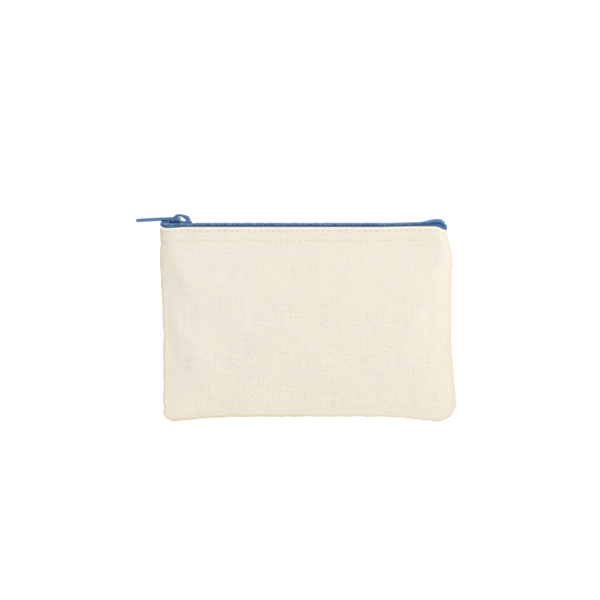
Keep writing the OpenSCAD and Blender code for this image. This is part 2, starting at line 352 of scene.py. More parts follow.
def join(parts: Sequence[Shape]) -> Shape:
    """Puts several point and face lists into one.

    Args:
        parts: Points and faces of each part.

    Returns:
        All points, and all faces numbered to match.
    """
    points, faces, start = [], [], 0
    for part_points, part_faces in parts:
        points.append(np.asarray(part_points, float))
        faces.extend([[start + i for i in f] for f in part_faces])
        start += len(part_points)
    return np.vstack(points), faces


def ring_faces(count: int, sides: int) -> list[list[int]]:
    """Skins a row of rings and closes both ends.

    Args:
        count: Number of rings.
        sides: Number of corners of each ring.

    Returns:
        Faces, for corners that are numbered ring by ring.
    """
    faces = []
    for start in range(0, (count - 1) * sides, sides):
        for j in range(sides):
            k = (j + 1) % sides
            faces.append([start + j, start + k, start + sides + k, start + sides + j])
    faces.append(list(range(sides))[::-1])
    faces.append([(count - 1) * sides + j for j in range(sides)])
    return faces


def tube(path: np.ndarray, radius: np.ndarray | float, sides: int = 6) -> Shape:
    """Sweeps a round thread along a path and closes both ends.

    Args:
        path: Points of the centre line in millimetres.
        radius: Radius at each point, or one radius for all.
        sides: Number of sides of the thread.

    Returns:
        Points and faces.
    """
    path = np.asarray(path, float)
    count = len(path)
    radius = np.broadcast_to(np.asarray(radius, float), (count,))
    along = np.gradient(path, axis=0)
    along /= np.linalg.norm(along, axis=1)[:, None] + 1e-12
    normals = np.zeros_like(path)
    start = np.array([0.0, 0.0, 1.0]) if abs(along[0, 2]) < 0.9 else np.array([0.0, 1.0, 0.0])
    for i in range(count):
        start = start - along[i] * float(start @ along[i])
        start /= np.linalg.norm(start)
        normals[i] = start
    across = np.cross(along, normals)
    turns = 2 * math.pi * np.arange(sides) / sides
    ring = normals[:, None] * np.cos(turns)[None, :, None] + across[:, None] * np.sin(turns)[None, :, None]
    points = (path[:, None] + ring * radius[:, None, None]).reshape(-1, 3)
    return points, ring_faces(count, sides)


def smooth_line(points: Sequence[Sequence[float]], steps: int) -> np.ndarray:
    """Draws a smooth curve through a few points.

    Args:
        points: Points that the curve passes.
        steps: Number of steps between two points.

    Returns:
        Points along the curve.
    """
    knots = np.asarray(points, float)
    ends = np.vstack([2 * knots[0] - knots[1], knots, 2 * knots[-1] - knots[-2]])
    out = []
    for i in range(1, len(ends) - 2):
        a, b, c, d = ends[i - 1:i + 3]
        for k in range(steps):
            t = k / steps
            out.append(0.5 * (2 * b + (c - a) * t + (2 * a - 5 * b + 4 * c - d) * t * t
                              + (3 * b - a - 3 * c + d) * t ** 3))
    out.append(knots[-1])
    return np.array(out)


# ---- Finishes ----


@dataclass(frozen=True)
class TwillCanvas:
    """Unbleached cotton twill, a loom-state duck weight cloth.

    The diagonal ribs are warp floats that step one thread at each weft, so the face reads as
    slanting rows of small grains. Unbleached cotton keeps a warm cream colour, thick and thin
    places in the yarn, and a few brown specks of seed hull. Real twill of this weight has finer
    ribs, and they are drawn as coarse as they need to be to show.
    """

    yarn: str = "#e6e1d9"
    hollow: str = "#d1c7b0"
    # Painted shade along the side and bottom seams.
    seam: str = "#d2bf99"
    # Painted highlight along the folded top edge.
    fold: str = "#f7f0e2"
    speck: str = "#b9976c"
    # Painted shade in the needle holes along the topstitch rows.
    needle_hole: str = "#cbb78f"
    rib_x_mm: float = 1.714
    rib_z_mm: float = 1.27
    stitch_pitch_mm: float = 3.5
    stitch_rows_mm: tuple[float, float] = (108.3, 102.8)
    roughness: float = 0.88

    def material(self) -> bpy.types.Material:
        """Builds the cloth from its own thread coordinates, which follow every fold.

        Returns:
            The material.
        """
        made, tree, shader = empty_material("unbleached_cotton_twill")
        cloth = add(tree, "ShaderNodeAttribute", attribute_name="cloth_mm").outputs["Vector"]
        grain = self._grain(tree, cloth)
        fuzz = add(tree, "ShaderNodeTexNoise", {"Vector": cloth, "Scale": 2.6, "Detail": 4.0}).outputs["Fac"]
        holes = self._needle_holes(tree, cloth)
        tone = add(tree, "ShaderNodeAttribute", attribute_name="edge_tone").outputs["Fac"]
        # Negative tone gives painted shade along the seams.
        seam_shade = add(tree, "ShaderNodeMapRange", {"Value": tone, "From Max": -1.0, "To Max": 0.75})
        # Positive tone gives a painted highlight along the folded top edge.
        fold_highlight = add(tree, "ShaderNodeMapRange", {"Value": tone})
        colour = self._yarn_colour(tree, cloth, grain)
        for mask, code in (
            (self._specks(tree, cloth), self.speck),
            (holes, self.needle_hole),
            (seam_shade.outputs[0], self.seam),
            (fold_highlight.outputs[0], self.fold),
        ):
            colour = add(tree, "ShaderNodeMix", {"Factor": mask, "A": colour, "B": srgb(code)},
                         data_type="RGBA").outputs["Result"]
        relief = add(tree, "ShaderNodeMath", {0: grain, 1: 0.8}, operation="MULTIPLY").outputs[0]
        for height, weight in ((fuzz, 0.45), (holes, -1.2)):
            relief = add(tree, "ShaderNodeMath", {0: height, 1: weight, 2: relief},
                         operation="MULTIPLY_ADD").outputs[0]
        lifted = add(tree, "ShaderNodeBump", {"Height": relief, "Strength": 0.55, "Distance": 0.22 * MM})
        rough = add(tree, "ShaderNodeMapRange",
                    {"Value": fuzz, "To Min": self.roughness - 0.06, "To Max": self.roughness + 0.06})
        feed(tree, shader, {
            "Base Color": colour, "Normal": lifted.outputs[0], "Roughness": rough.outputs[0],
            "Sheen Weight": 0.12, "Sheen Roughness": 0.6, "Specular IOR Level": 0.25,
        })
        return made

    def _grain(self, tree: bpy.types.NodeTree, cloth: bpy.types.NodeSocket) -> bpy.types.NodeSocket:
        """Lays the twill's ribs, and faint steps the other way that break them into grains.

        Args:
            tree: Node tree of the material.
            cloth: Thread coordinates in millimetres.

        Returns:
            Height of the weave, from 0 to 1.
        """
        ribs = []
        for slant in (1, -1):
            place = add(tree, "ShaderNodeMapping",
                        {"Vector": cloth, "Scale": (1 / self.rib_x_mm, slant / self.rib_z_mm, 0)})
            ribs.append(add(tree, "ShaderNodeTexWave",
                            {"Vector": place.outputs[0], "Scale": WAVE_SCALE, "Distortion": 0.45,
                             "Detail": 2.0, "Detail Scale": 0.45},
                            bands_direction="DIAGONAL").outputs["Fac"])
        return add(tree, "ShaderNodeMix", {"Factor": 0.22, "A": ribs[0], "B": ribs[1]}).outputs["Result"]

    def _yarn_colour(
        self, tree: bpy.types.NodeTree, cloth: bpy.types.NodeSocket, grain: bpy.types.NodeSocket,
    ) -> bpy.types.NodeSocket:
        """Colours the weave, with thick and thin places along the yarns and soft clouds.

        Args:
            tree: Node tree of the material.
            cloth: Thread coordinates in millimetres.
            grain: Height of the weave.

        Returns:
            The cloth's colour before specks, holes and edges.
        """
        base = ramp(add(tree, "ShaderNodeValToRGB", {"Fac": grain}), [(0.1, self.hollow), (0.8, self.yarn)])
        slubs = []
        for scale in ((0.05, 1.3, 1), (1.1, 0.04, 1)):
            stretch = add(tree, "ShaderNodeMapping", {"Vector": cloth, "Scale": scale})
            slubs.append(add(tree, "ShaderNodeTexNoise",
                             {"Vector": stretch.outputs[0], "Scale": 1.0, "Detail": 3.0}).outputs["Fac"])
        both = add(tree, "ShaderNodeMath", {0: slubs[0], 1: slubs[1]}, operation="ADD").outputs[0]
        clouds = add(tree, "ShaderNodeTexNoise", {"Vector": cloth, "Scale": 0.035, "Detail": 2.0})
        lighten = add(tree, "ShaderNodeMapRange",
                      {"Value": both, "From Min": 0.7, "From Max": 1.3, "To Min": 0.955, "To Max": 1.03})
        cloudy = add(tree, "ShaderNodeMapRange",
                     {"Value": clouds.outputs["Fac"], "From Min": 0.3, "From Max": 0.7,
                      "To Min": 0.985, "To Max": 1.01})
        shade = add(tree, "ShaderNodeMath", {0: lighten.outputs[0], 1: cloudy.outputs[0]},
                    operation="MULTIPLY")
        return add(tree, "ShaderNodeVectorMath", {0: base, 1: shade.outputs[0]},
                   operation="MULTIPLY").outputs[0]

    def _specks(self, tree: bpy.types.NodeTree, cloth: bpy.types.NodeSocket) -> bpy.types.NodeSocket:
        """Marks a few brown seed specks.

        Args:
            tree: Node tree of the material.
            cloth: Thread coordinates in millimetres.

        Returns:
            A mask that is 1 in a speck.
        """
        cells = add(tree, "ShaderNodeTexVoronoi", {"Vector": cloth, "Scale": 0.15})
        near = add(tree, "ShaderNodeMapRange",
                   {"Value": cells.outputs["Distance"], "From Min": 0.07, "From Max": 0.03})
        chosen = add(tree, "ShaderNodeSeparateColor", {"Color": cells.outputs["Color"]})
        rare = add(tree, "ShaderNodeMapRange",
                   {"Value": chosen.outputs[0], "From Min": 0.55, "From Max": 1.0, "To Max": 0.75})
        return add(tree, "ShaderNodeMath", {0: near.outputs[0], 1: rare.outputs[0]},
                   operation="MULTIPLY").outputs[0]

    def _needle_holes(self, tree: bpy.types.NodeTree, cloth: bpy.types.NodeSocket) -> bpy.types.NodeSocket:
        """Marks the holes that the needle leaves between two topstitches.

        Args:
            tree: Node tree of the material.
            cloth: Thread coordinates in millimetres.

        Returns:
            A mask that is 1 in a hole.
        """
        axes = add(tree, "ShaderNodeSeparateXYZ", {"Vector": cloth})
        half_pitch = self.stitch_pitch_mm / 2
        wrapped = add(tree, "ShaderNodeMath", {0: axes.outputs[0], 1: half_pitch, 2: -half_pitch},
                      operation="WRAP")
        masks = []
        for height, strength in zip(self.stitch_rows_mm, (0.65, 0.42)):
            up = add(tree, "ShaderNodeMath", {0: axes.outputs[1], 1: height}, operation="SUBTRACT")
            spot = add(tree, "ShaderNodeCombineXYZ", {0: wrapped.outputs[0], 1: up.outputs[0]})
            reach = add(tree, "ShaderNodeVectorMath", {0: spot.outputs[0]}, operation="LENGTH")
            masks.append(add(tree, "ShaderNodeMapRange",
                             {"Value": reach.outputs["Value"], "From Min": 0.62, "From Max": 0.3,
                              "To Max": strength}).outputs[0])
        return add(tree, "ShaderNodeMath", {0: masks[0], 1: masks[1]}, operation="MAXIMUM").outputs[0]


@dataclass(frozen=True)
class NylonCoil:
    """Dyed nylon monofilament, drawn and then wound hot round a mandrel.

    It is smooth and slightly clear, so it takes small bright highlights and a deeper blue where
    two turns lie side by side. Towards the right end it is coloured a deeper blue as painted shade.
    """

    light: str = "#a3cdec"
    deep: str = "#3f76b5"
    squeezed: str = "#2f66a4"
    squeezed_from_mm: float = 58.0
    squeezed_to_mm: float = 72.0

    def material(self) -> bpy.types.Material:
        """Builds the monofilament's finish.

        Returns:
            The material.
        """
        made, tree, shader = empty_material("dyed_nylon_monofilament")
        place = add(tree, "ShaderNodeTexCoord").outputs["Object"]
        drawn = add(tree, "ShaderNodeTexNoise",
                    {"Vector": place, "Scale": 420.0, "Detail": 3.0}).outputs["Fac"]
        dyed = ramp(add(tree, "ShaderNodeValToRGB", {"Fac": drawn}), [(0.3, self.deep), (0.72, self.light)])
        along = add(tree, "ShaderNodeSeparateXYZ", {"Vector": place}).outputs["X"]
        # Painted shade: the coil is coloured deeper towards its right end.
        right_end_shade_mask = add(tree, "ShaderNodeMapRange",
                     {"Value": along, "From Min": self.squeezed_from_mm * MM,
                      "From Max": self.squeezed_to_mm * MM, "To Max": 0.6})
        colour = add(tree, "ShaderNodeMix",
                     {"Factor": right_end_shade_mask.outputs[0], "A": dyed, "B": srgb(self.squeezed)},
                     data_type="RGBA").outputs["Result"]
        lifted = add(tree, "ShaderNodeBump", {"Height": drawn, "Strength": 0.2, "Distance": 0.05 * MM})
        feed(tree, shader,
             {"Base Color": colour, "Normal": lifted.outputs[0], "Roughness": 0.34, "IOR": 1.53})
        return made


@dataclass(frozen=True)
class PolyesterWeave:
    """Spun and filament polyester: the zip's woven tape, its filler cords and its chain stitch.

    The fine ribs run along the tape, a third of a millimetre apart, and give a dull blue face.
    """

    name: str
    light: str
    deep: str
    rib_mm: float
    along: tuple[float, float, float]

    def material(self) -> bpy.types.Material:
        """Builds the woven or twisted yarn's finish.

        Returns:
            The material.
        """
        made, tree, shader = empty_material(self.name)
        place = add(tree, "ShaderNodeTexCoord").outputs["Object"]
        scaled = add(tree, "ShaderNodeMapping",
                     {"Vector": place, "Scale": tuple(a / (self.rib_mm * MM) for a in self.along)})
        ribs = add(tree, "ShaderNodeTexWave",
                   {"Vector": scaled.outputs[0], "Scale": WAVE_SCALE, "Distortion": 0.7, "Detail": 2.0},
                   bands_direction="DIAGONAL").outputs["Fac"]
        lint = add(tree, "ShaderNodeTexNoise",
                    {"Vector": place, "Scale": 900.0, "Detail": 3.0}).outputs["Fac"]
        mixed = add(tree, "ShaderNodeMix", {"Factor": 0.4, "A": ribs, "B": lint}).outputs["Result"]
        colour = ramp(add(tree, "ShaderNodeValToRGB", {"Fac": mixed}), [(0.2, self.deep), (0.75, self.light)])
        lifted = add(tree, "ShaderNodeBump", {"Height": mixed, "Strength": 0.6, "Distance": 0.1 * MM})
        feed(tree, shader, {
            "Base Color": colour, "Normal": lifted.outputs[0], "Roughness": 0.78,
            "Sheen Weight": 0.15, "Specular IOR Level": 0.3,
        })
        return made


@dataclass(frozen=True)
class EnamelledZinc:
    """Die-cast zinc under a baked enamel, dyed to match the tape.

    Baked enamel flows into a soft orange-peel gloss. Its sharp cast edges are coloured paler,
    a painted highlight where light would catch them.
    """

    coat: str = "#426c9b"
    thin: str = "#7ba5c4"
    deep: str = "#2f588c"

    def material(self) -> bpy.types.Material:
        """Builds the enamel's finish.

        Returns:
            The material.
        """
        made, tree, shader = empty_material("baked_enamel_on_cast_zinc")
        place = add(tree, "ShaderNodeTexCoord").outputs["Object"]
        mottle = add(tree, "ShaderNodeTexNoise",
                    {"Vector": place, "Scale": 350.0, "Detail": 3.0}).outputs["Fac"]
        body = ramp(add(tree, "ShaderNodeValToRGB", {"Fac": mottle}), [(0.35, self.deep), (0.6, self.coat)])
        # Painted highlight: sharp edges, found by pointiness, are coloured paler.
        edge = add(tree, "ShaderNodeMapRange",
                   {"Value": add(tree, "ShaderNodeNewGeometry").outputs["Pointiness"],
                    "From Min": 0.52, "From Max": 0.6, "To Max": 0.6})
        colour = add(tree, "ShaderNodeMix", {"Factor": edge.outputs[0], "A": body, "B": srgb(self.thin)},
                     data_type="RGBA").outputs["Result"]
        lifted = add(tree, "ShaderNodeBump", {"Height": mottle, "Strength": 0.12, "Distance": 0.1 * MM})
        rough = add(tree, "ShaderNodeMapRange", {"Value": mottle, "To Min": 0.3, "To Max": 0.46})
        feed(tree, shader, {
            "Base Color": colour, "Normal": lifted.outputs[0], "Roughness": rough.outputs[0],
            "Coat Weight": 0.25, "Coat Roughness": 0.2,
        })
        return made


@dataclass(frozen=True)
class CottonThread:
    """Undyed two-ply cotton sewing thread. Its twist shows as fine slanting ridges."""

    light: str = "#f4ecda"
    deep: str = "#d6c6a2"
    twist_mm: float = 0.5

    def material(self) -> bpy.types.Material:
        """Builds the thread's finish.

        Returns:
            The material.
        """
        made, tree, shader = empty_material("undyed_cotton_thread")
        place = add(tree, "ShaderNodeTexCoord").outputs["Object"]
        scaled = add(tree, "ShaderNodeMapping",
                     {"Vector": place, "Scale": (1 / (self.twist_mm * MM),) * 3})
        twist = add(tree, "ShaderNodeTexWave",
                    {"Vector": scaled.outputs[0], "Scale": WAVE_SCALE, "Distortion": 0.5},
                    bands_direction="DIAGONAL").outputs["Fac"]
        colour = ramp(add(tree, "ShaderNodeValToRGB", {"Fac": twist}), [(0.1, self.deep), (0.6, self.light)])
        lifted = add(tree, "ShaderNodeBump", {"Height": twist, "Strength": 0.5, "Distance": 0.06 * MM})
        feed(tree, shader, {
            "Base Color": colour, "Normal": lifted.outputs[0], "Roughness": 0.85,
            "Sheen Weight": 0.1, "Specular IOR Level": 0.25,
        })
        return made


@dataclass(frozen=True)
class OpalSweep:
    """Matt opal acrylic sheet, lit evenly through its back, which keeps shadows faint."""

    tint: str = "#d9d9d9"
    glow: float = 0.4

    def material(self) -> bpy.types.Material:
        """Builds the sheet's finish.

        Returns:
            The material.
        """
        made, tree, shader = empty_material("opal_acrylic")
        feed(tree, shader, {
            "Base Color": srgb(self.tint), "Roughness": 0.95, "Specular IOR Level": 0.1,
            "Emission Color": srgb("#ffffff"), "Emission Strength": self.glow,
        })
        return made


# ---- The pouch's form ----


@dataclass(frozen=True)
class Crease:
    """One soft ridge or hollow in the canvas.

    Sizes are in millimetres: the middle of the crease, its direction in degrees from X, half its
    length, half its width and its height, which is negative for a hollow.
    """

    x: float
    z: float
    angle: float
    length: float
    width: float
    height: float

    def relief(self, x: np.ndarray, z: np.ndarray) -> np.ndarray:
        """Works out the crease's height at each point.

        Args:
            x: Place along the pouch.
            z: Height above the bottom seam.

        Returns:
            Height of the crease in millimetres.
        """
        turn = math.radians(self.angle)
        along = (x - self.x) * math.cos(turn) + (z - self.z) * math.sin(turn)
        across = (z - self.z) * math.cos(turn) - (x - self.x) * math.sin(turn)
        return self.height * bump(along / self.length) * bump(across / self.width)


FRONT_CREASES = (
    Crease(-76, 88, -78, 16, 3.2, -0.7), Crease(-70, 84, -70, 18, 4.0, 0.7),
    Crease(-66, 81, -8, 15, 4.5, 1.0), Crease(-69, 46, -50, 17, 5.0, 1.5),
    Crease(-66, 22, -42, 20, 4.2, 0.95), Crease(-60, 15, -42, 20, 3.8, -0.75),
    Crease(-75, 33, -52, 13, 4.0, -0.9),
    Crease(70, 24, 48, 20, 5.0, 0.45), Crease(76, 34, 62, 16, 3.5, -0.4),
    Crease(20, 8, 3, 50, 3.5, 0.3), Crease(-20, 45, -15, 40, 9.0, 0.35),
    Crease(45, 70, 12, 34, 8.0, -0.3), Crease(66, 98, -40, 12, 4.0, -0.35),
)
BACK_CREASES = (
    Crease(72, 80, 74, 18, 3.6, -0.5), Crease(64, 20, 44, 22, 4.5, 0.5),
    Crease(-68, 30, -58, 20, 4.0, 0.45), Crease(-74, 74, -80, 16, 3.2, -0.4),
    Crease(10, 52, 10, 42, 9.0, 0.4), Crease(-36, 84, -16, 30, 7.0, -0.3),
    Crease(0, 9, -2, 48, 3.5, 0.3),
)


@dataclass
class PouchForm:
    """Outline, depth and zip line of the pouch, in millimetres, from the frame's own sizes."""

    half_w: float
    height: float
    mouth_half: float
    hem_low: float
    canvas: float = 0.62
    ply: float = 0.7
    seam_level: float = 0.475
    seam_half: float = 1.5
    belly_run: float = 26.0
    corner_run: float = 6.0
    upper_row: float = 108.3
    lower_row: float = 102.8
    stitch_pitch: float = 3.5

    @classmethod
    def from_frame(cls) -> "PouchForm":
        """Reads the pouch's sizes from the CAD nodes' boxes."""
        low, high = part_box("front_panel")
        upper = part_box("front_upper_stitch")
        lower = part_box("front_lower_stitch")
        return cls(
            half_w=high.x / MM,
            height=high.z / MM,
            mouth_half=-low.y / MM,
            hem_low=high.z / MM - 10.5,
            upper_row=(upper[0].z + upper[1].z) / 2 / MM,
            lower_row=(lower[0].z + lower[1].z) / 2 / MM,
        )

    def depth(self, x: np.ndarray, z: np.ndarray, side: Side) -> np.ndarray:
        """Distance of the outer sheet's middle from the pouch's middle plane.

        Args:
            x: Place along the pouch.
            z: Height.
            side: Front or back half.

        Returns:
            Distance in millimetres, with creases and puckers.
        """
        seam = self.seam_half + 2 * self.ply * ease((z - self.hem_low + 6) / 6)
        rise = 1 - (1 - np.clip(z / self.hem_low, 0, 1)) ** 2
        slack = 1 - 0.1 * np.sin(math.pi * np.clip(z / self.hem_low, 0, 1))
        full = seam + (self.mouth_half - seam) * rise * slack
        run = self.belly_run + (self.corner_run - self.belly_run) * ease((z / self.hem_low - 0.6) / 0.4)
        u = np.clip((self.half_w - np.abs(x)) / run, 0, 1)
        plain = seam + (full - seam) * np.sin(math.pi / 2 * u) - self.canvas / 2
        inside = ease((self.half_w - np.abs(x)) / 9) * ease(z / 9) * ease((self.height - 3 - z) / 12)
        creases = FRONT_CREASES if side is Side.FRONT else BACK_CREASES
        relief = sum(c.relief(x, z) for c in creases)
        relief = relief + 0.13 * waves(x, z, 34, 5 + side.value) + 0.04 * waves(x, z, 9, 11 + side.value)
        return plain + inside * relief - self.pucker(x, z)

    def pucker(self, x: np.ndarray, z: np.ndarray) -> np.ndarray:
        """Depth of the small hollows that the thread pulls into the cloth.

        Args:
            x: Place along the pouch.
            z: Height.

        Returns:
            Depth in millimetres.
        """
        beat = 0.65 + 0.35 * np.cos(2 * math.pi * x / self.stitch_pitch)
        rows = 0.26 * bump((z - self.upper_row) / 0.9) + 0.17 * bump((z - self.lower_row) / 0.9)
        rows = rows * beat * ease((self.half_w - 5 - np.abs(x)) / 4)
        from_side = self.half_w - np.abs(x)
        sides = 0.14 * bump((from_side - 2.6) / 1.3) * (1 + 0.7 * np.cos(2 * math.pi * z / 3.1))
        bottom = 0.14 * bump((z - 2.6) / 1.3) * (1 + 0.7 * np.cos(2 * math.pi * x / 3.1))
        ridge = -0.16 * bump((from_side - 8.5) / 1.6) - 0.16 * bump((z - 8.5) / 1.6)
        return rows + sides + bottom + ridge

    def warp(self, x: np.ndarray, z: np.ndarray) -> tuple[np.ndarray, np.ndarray]:
        """Moves a point of the flat cut to where the sewn and handled pouch holds it.

        Args:
            x: Place along the flat cut.
            z: Height on the flat cut.

        Returns:
            Place and height on the finished pouch.
        """
        share = (x + self.half_w) / (2 * self.half_w)
        rough_side = 0.05 * waves(z, 0 * z, 2.6, 21) + 0.11 * waves(z, 0 * z, 11, 22)
        left = -self.half_w - 0.6 + 1.7 * ease((95 - z) / 50)
        left = left - 0.8 * bump((z - 3.2) / 2.0) + 0.4 * bump((z - 7.8) / 1.8)
        right = self.half_w - 0.6 + 0.3 * ease((z - 70) / 15) + 2.8 * ease((48 - z) / 42)
        right = right - 3.1 * ease((z - 96) / 14)
        out_x = left + share * (right - left) + rough_side * (2 * share - 1) * ease((np.abs(x) - 60) / 22)
        low = 2.9 * np.where(x < 0, 1 - (1 - np.clip((x + 80) / 50, 0, 1)) ** 2, ease((80 - x) / 42))
        rough_low = 0.055 * waves(x, 0 * x, 2.4, 31) + 0.08 * waves(x, 0 * x, 12, 32)
        low = low + rough_low * ease((14 - z) / 12) + 0.35
        drop = 1.8 * ease((x - 75.5) / 6.5) - 0.35 * ease((x - 40) / 25) + 0.5 * ease((-68 - x) / 9)
        out_z = z + low * (1 - ease(z / 45)) - drop * ease((z - 88) / 18)
        for corner_x, reach, cut in ((self.half_w, 10.5, 3.0), (-self.half_w, 6.5, 1.7)):
            near = np.clip(1 - np.abs(corner_x - x) / reach, 0, 1) * np.clip(1 - z / reach, 0, 1)
            out_x = out_x - np.sign(corner_x) * cut * near ** 1.5
            out_z = out_z + cut * near ** 1.5
        return out_x, out_z


@dataclass
class ZipLine:
    """Where the zip runs, in millimetres: its rows part at the slider and curl at both ends."""

    left: float
    right: float
    tape_top: float
    coil_height: float
    nose: float
    rear: float
    pitch: float = 1.5
    row_width: float = 2.8
    head_over: float = 0.35
    spread: float = 1.25
    lean_deg: float = 9.0
    curl_deg: float = 36.0
    twist_deg: float = 34.0

    @classmethod
    def from_frame(cls) -> "ZipLine":
        """Reads the zip's sizes from the CAD nodes' boxes."""
        low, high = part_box("front_coil")
        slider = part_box("slider_body")
        return cls(
            left=low.x / MM,
            right=high.x / MM,
            tape_top=low.z / MM,
            coil_height=(high.z - low.z) / MM,
            nose=slider[0].x / MM,
            rear=slider[1].x / MM,
        )

    def parted(self, x: np.ndarray) -> np.ndarray:
        """Works out how far the slider's wedge holds a row away from its closed place.

        Args:
            x: Place along the zip.

        Returns:
            Distance in millimetres.
        """
        length = self.rear - self.nose
        past_nose = ease((self.nose + 0.4 - x) / 3.8)
        return self.spread * ease((self.rear - x - 0.27 * length) / (0.44 * length)) * (1 - 0.92 * past_nose)

    def left_end(self, x: np.ndarray) -> np.ndarray:
        """Share of the way from the slider's nose to the twisted left end."""
        return ease((self.nose + 2.4 - x) / 4.4)

    def right_end(self, x: np.ndarray) -> np.ndarray:
        """Share of the way from the slider's last place to the curled right end."""
        return ease((x - 63.5) / 11)

    def curl(self, x: np.ndarray) -> np.ndarray:
        """Angle by which each row leans in, most where the right seam pulls the tape in."""
        return (math.radians(self.lean_deg) * ease((x - self.rear - 0.2) / 3)
                + math.radians(self.curl_deg) * self.right_end(x))

    def twist(self, x: np.ndarray) -> np.ndarray:
        """Angle by which the whole chain lies over to the front at the left end."""
        return math.radians(self.twist_deg) * self.left_end(x)

    def lift(self, x: np.ndarray, side: Side) -> np.ndarray:
        """Works out how far a row bulges up before a side seam, and drops into the right one.

        Args:
            x: Place along the zip.
            side: Front or back row.

        Returns:
            Height in millimetres.
        """
        rise = 0.6 if side is Side.FRONT else 0.8
        right = 0.4 * ease((x - 46) / 20) + rise * self.right_end(x) - 3.6 * ease((x - 75.2) / 6.4)
        return right + 1.15 * self.left_end(x)

    def tip(self, x: np.ndarray) -> np.ndarray:
        """Share to which the chain is pinched together where the left seam has caught it."""
        return 1 - 0.5 * np.square(1 - np.clip((x - self.left) / 2.4, 0, 1))

    def place(self, x: np.ndarray, v: np.ndarray, h: np.ndarray, side: Side) -> np.ndarray:
        """Puts a point of the zip where it lies on the pouch.

        Args:
            x: Place along the zip.
            v: Distance from the chain's middle line, outwards.
            h: Height above the tape.
            side: Front or back row.

        Returns:
            Points in millimetres.
        """
        x, v, h = np.broadcast_arrays(np.asarray(x, float), v, h)
        pivot = self.row_width + 0.2
        angle = self.curl(x) * (v < pivot + 0.05)
        turned_v = pivot + (v - pivot) * np.cos(angle) + h * np.sin(angle)
        turned_h = -(v - pivot) * np.sin(angle) + h * np.cos(angle)
        middle = self.coil_height / 2
        tip, twist = self.tip(x), self.twist(x)
        across, up = side.value * (turned_v + self.parted(x)) * tip, (turned_h - middle) * tip
        y = across * np.cos(twist) - up * np.sin(twist) - 0.5 * self.left_end(x)
        z = self.tape_top + middle + across * np.sin(twist) + up * np.cos(twist) + self.lift(x, side)
        squeeze = 1 - 0.28 * ease((x - 73) / 6)
        return np.stack([x, y * squeeze, z], axis=-1)


# ---- Sub-assemblies ----


@dataclass
class Studio:
    """Camera, soft lights and the white sweep that the pouch stands on."""

    lens_mm: float = 150.0
    view_width_mm: float = 341.4
    aim_mm: tuple[float, float] = (-3.98, 69.2)
    surround: float = 0.62
    bend_mm: float = 700.0
    wall_mm: float = 3200.0

    def build(self) -> None:
        """Sets up the camera, the lights and the opal sweep."""
        scene = bpy.context.scene
        scene.view_settings.view_transform = "Standard"
        self._camera(scene)
        self._lights(scene)
        self._sweep()

    def _camera(self, scene: bpy.types.Scene) -> None:
        """Puts a long lens straight in front of the pouch, level with its middle.

        Args:
            scene: Scene that takes the camera.
        """
        data = bpy.data.cameras.new("camera")
        data.lens = self.lens_mm
        data.clip_end = 50
        camera = bpy.data.objects.new("camera", data)
        distance = self.view_width_mm * self.lens_mm / data.sensor_width
        camera.location = (self.aim_mm[0] * MM, -distance * MM, self.aim_mm[1] * MM)
        camera.rotation_euler = (math.pi / 2, 0, 0)
        scene.collection.objects.link(camera)
        scene.camera = camera

    def _lights(self, scene: bpy.types.Scene) -> None:
        """Adds a wide key from the right, three softer lights and an even white surround.

        Args:
            scene: Scene that takes the lights.
        """
        for name, place, size, power in (
            ("key_light", (0.85, -0.8, 0.5), 0.7, 4.6),
            ("fill_light", (-0.9, -1.2, 0.5), 1.2, 0.3),
            ("top_light", (0.2, -0.1, 1.4), 1.2, 0.8),
            ("rear_light", (-0.3, 1.4, 0.7), 1.2, 2.0),
        ):
            data = bpy.data.lights.new(name, "AREA")
            data.size = size
            data.energy = power
            light = bpy.data.objects.new(name, data)
            light.location = place
            aim = bpy.data.objects.new(name + "_aim", None)
            aim.location = (0, 0, 0.055)
            scene.collection.objects.link(aim)
            turn = light.constraints.new("TRACK_TO")
            turn.target = aim
            scene.collection.objects.link(light)
        world = bpy.data.worlds.new("surround")
        world.use_nodes = True
        backdrop = world.node_tree.nodes["Background"]
        feed(world.node_tree, backdrop, {"Color": srgb("#fdfeff"), "Strength": self.surround})
        scene.world = world

    def _sweep(self) -> None:
        """Makes a round opal floor whose rim curves up into a wall."""
        radii = [1.0] + [300.0 + 200 * k for k in range(9)]
        profile = [(r, 0.0) for r in radii]
        for k in range(1, 10):
            turn = math.pi / 2 * k / 9
            profile.append((radii[-1] + self.bend_mm * math.sin(turn), self.bend_mm * (1 - math.cos(turn))))
        profile.append((radii[-1] + self.bend_mm, self.wall_mm))
        around = 64
        points = [(r * math.cos(2 * math.pi * j / around), r * math.sin(2 * math.pi * j / around), z)
                  for r, z in profile for j in range(around)]
        faces = [[i * around + j, (i + 1) * around + j,
                  (i + 1) * around + (j + 1) % around, i * around + (j + 1) % around]
                 for i in range(len(profile) - 1) for j in range(around)]
        faces.append(list(range(around)))
        floor = piece("opal_sweep", np.array(points), faces, OpalSweep().material())


@dataclass
class Mouth:
    """Puts back pieces on the back half and parts front pieces at the middle of the mouth."""

    right_end: float
    left_end: float

    def share(self, obj: bpy.types.Object, side: Side) -> list[bpy.types.Object]:
        """Lets a whole cloth piece ride on the back half, or parts it at the middle of the mouth.

        Args:
            obj: The piece, with its final mesh and cloth_mm coordinates.
            side: Front or back half.

        Returns:
            The one piece, or its left and right half.
        """
        if side is Side.BACK:
            self.ride(obj, None)
            return [obj]
        halves = split_at_middle(obj, obj.name)
        for hand, half in halves.items():
            self.ride(half, hand)
        return list(halves.values())

    def ride(self, obj: bpy.types.Object, hand: Hand | None) -> None:
        """Lets a back piece ride on the back half, and bakes a front half's transform into its mesh.

        Args:
            obj: The piece, with its final mesh.
            hand: Which half of the mouth a front piece spans, or none for a back piece.
        """
        if hand is None:
            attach(obj, "back_half")
            return
        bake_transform(obj)


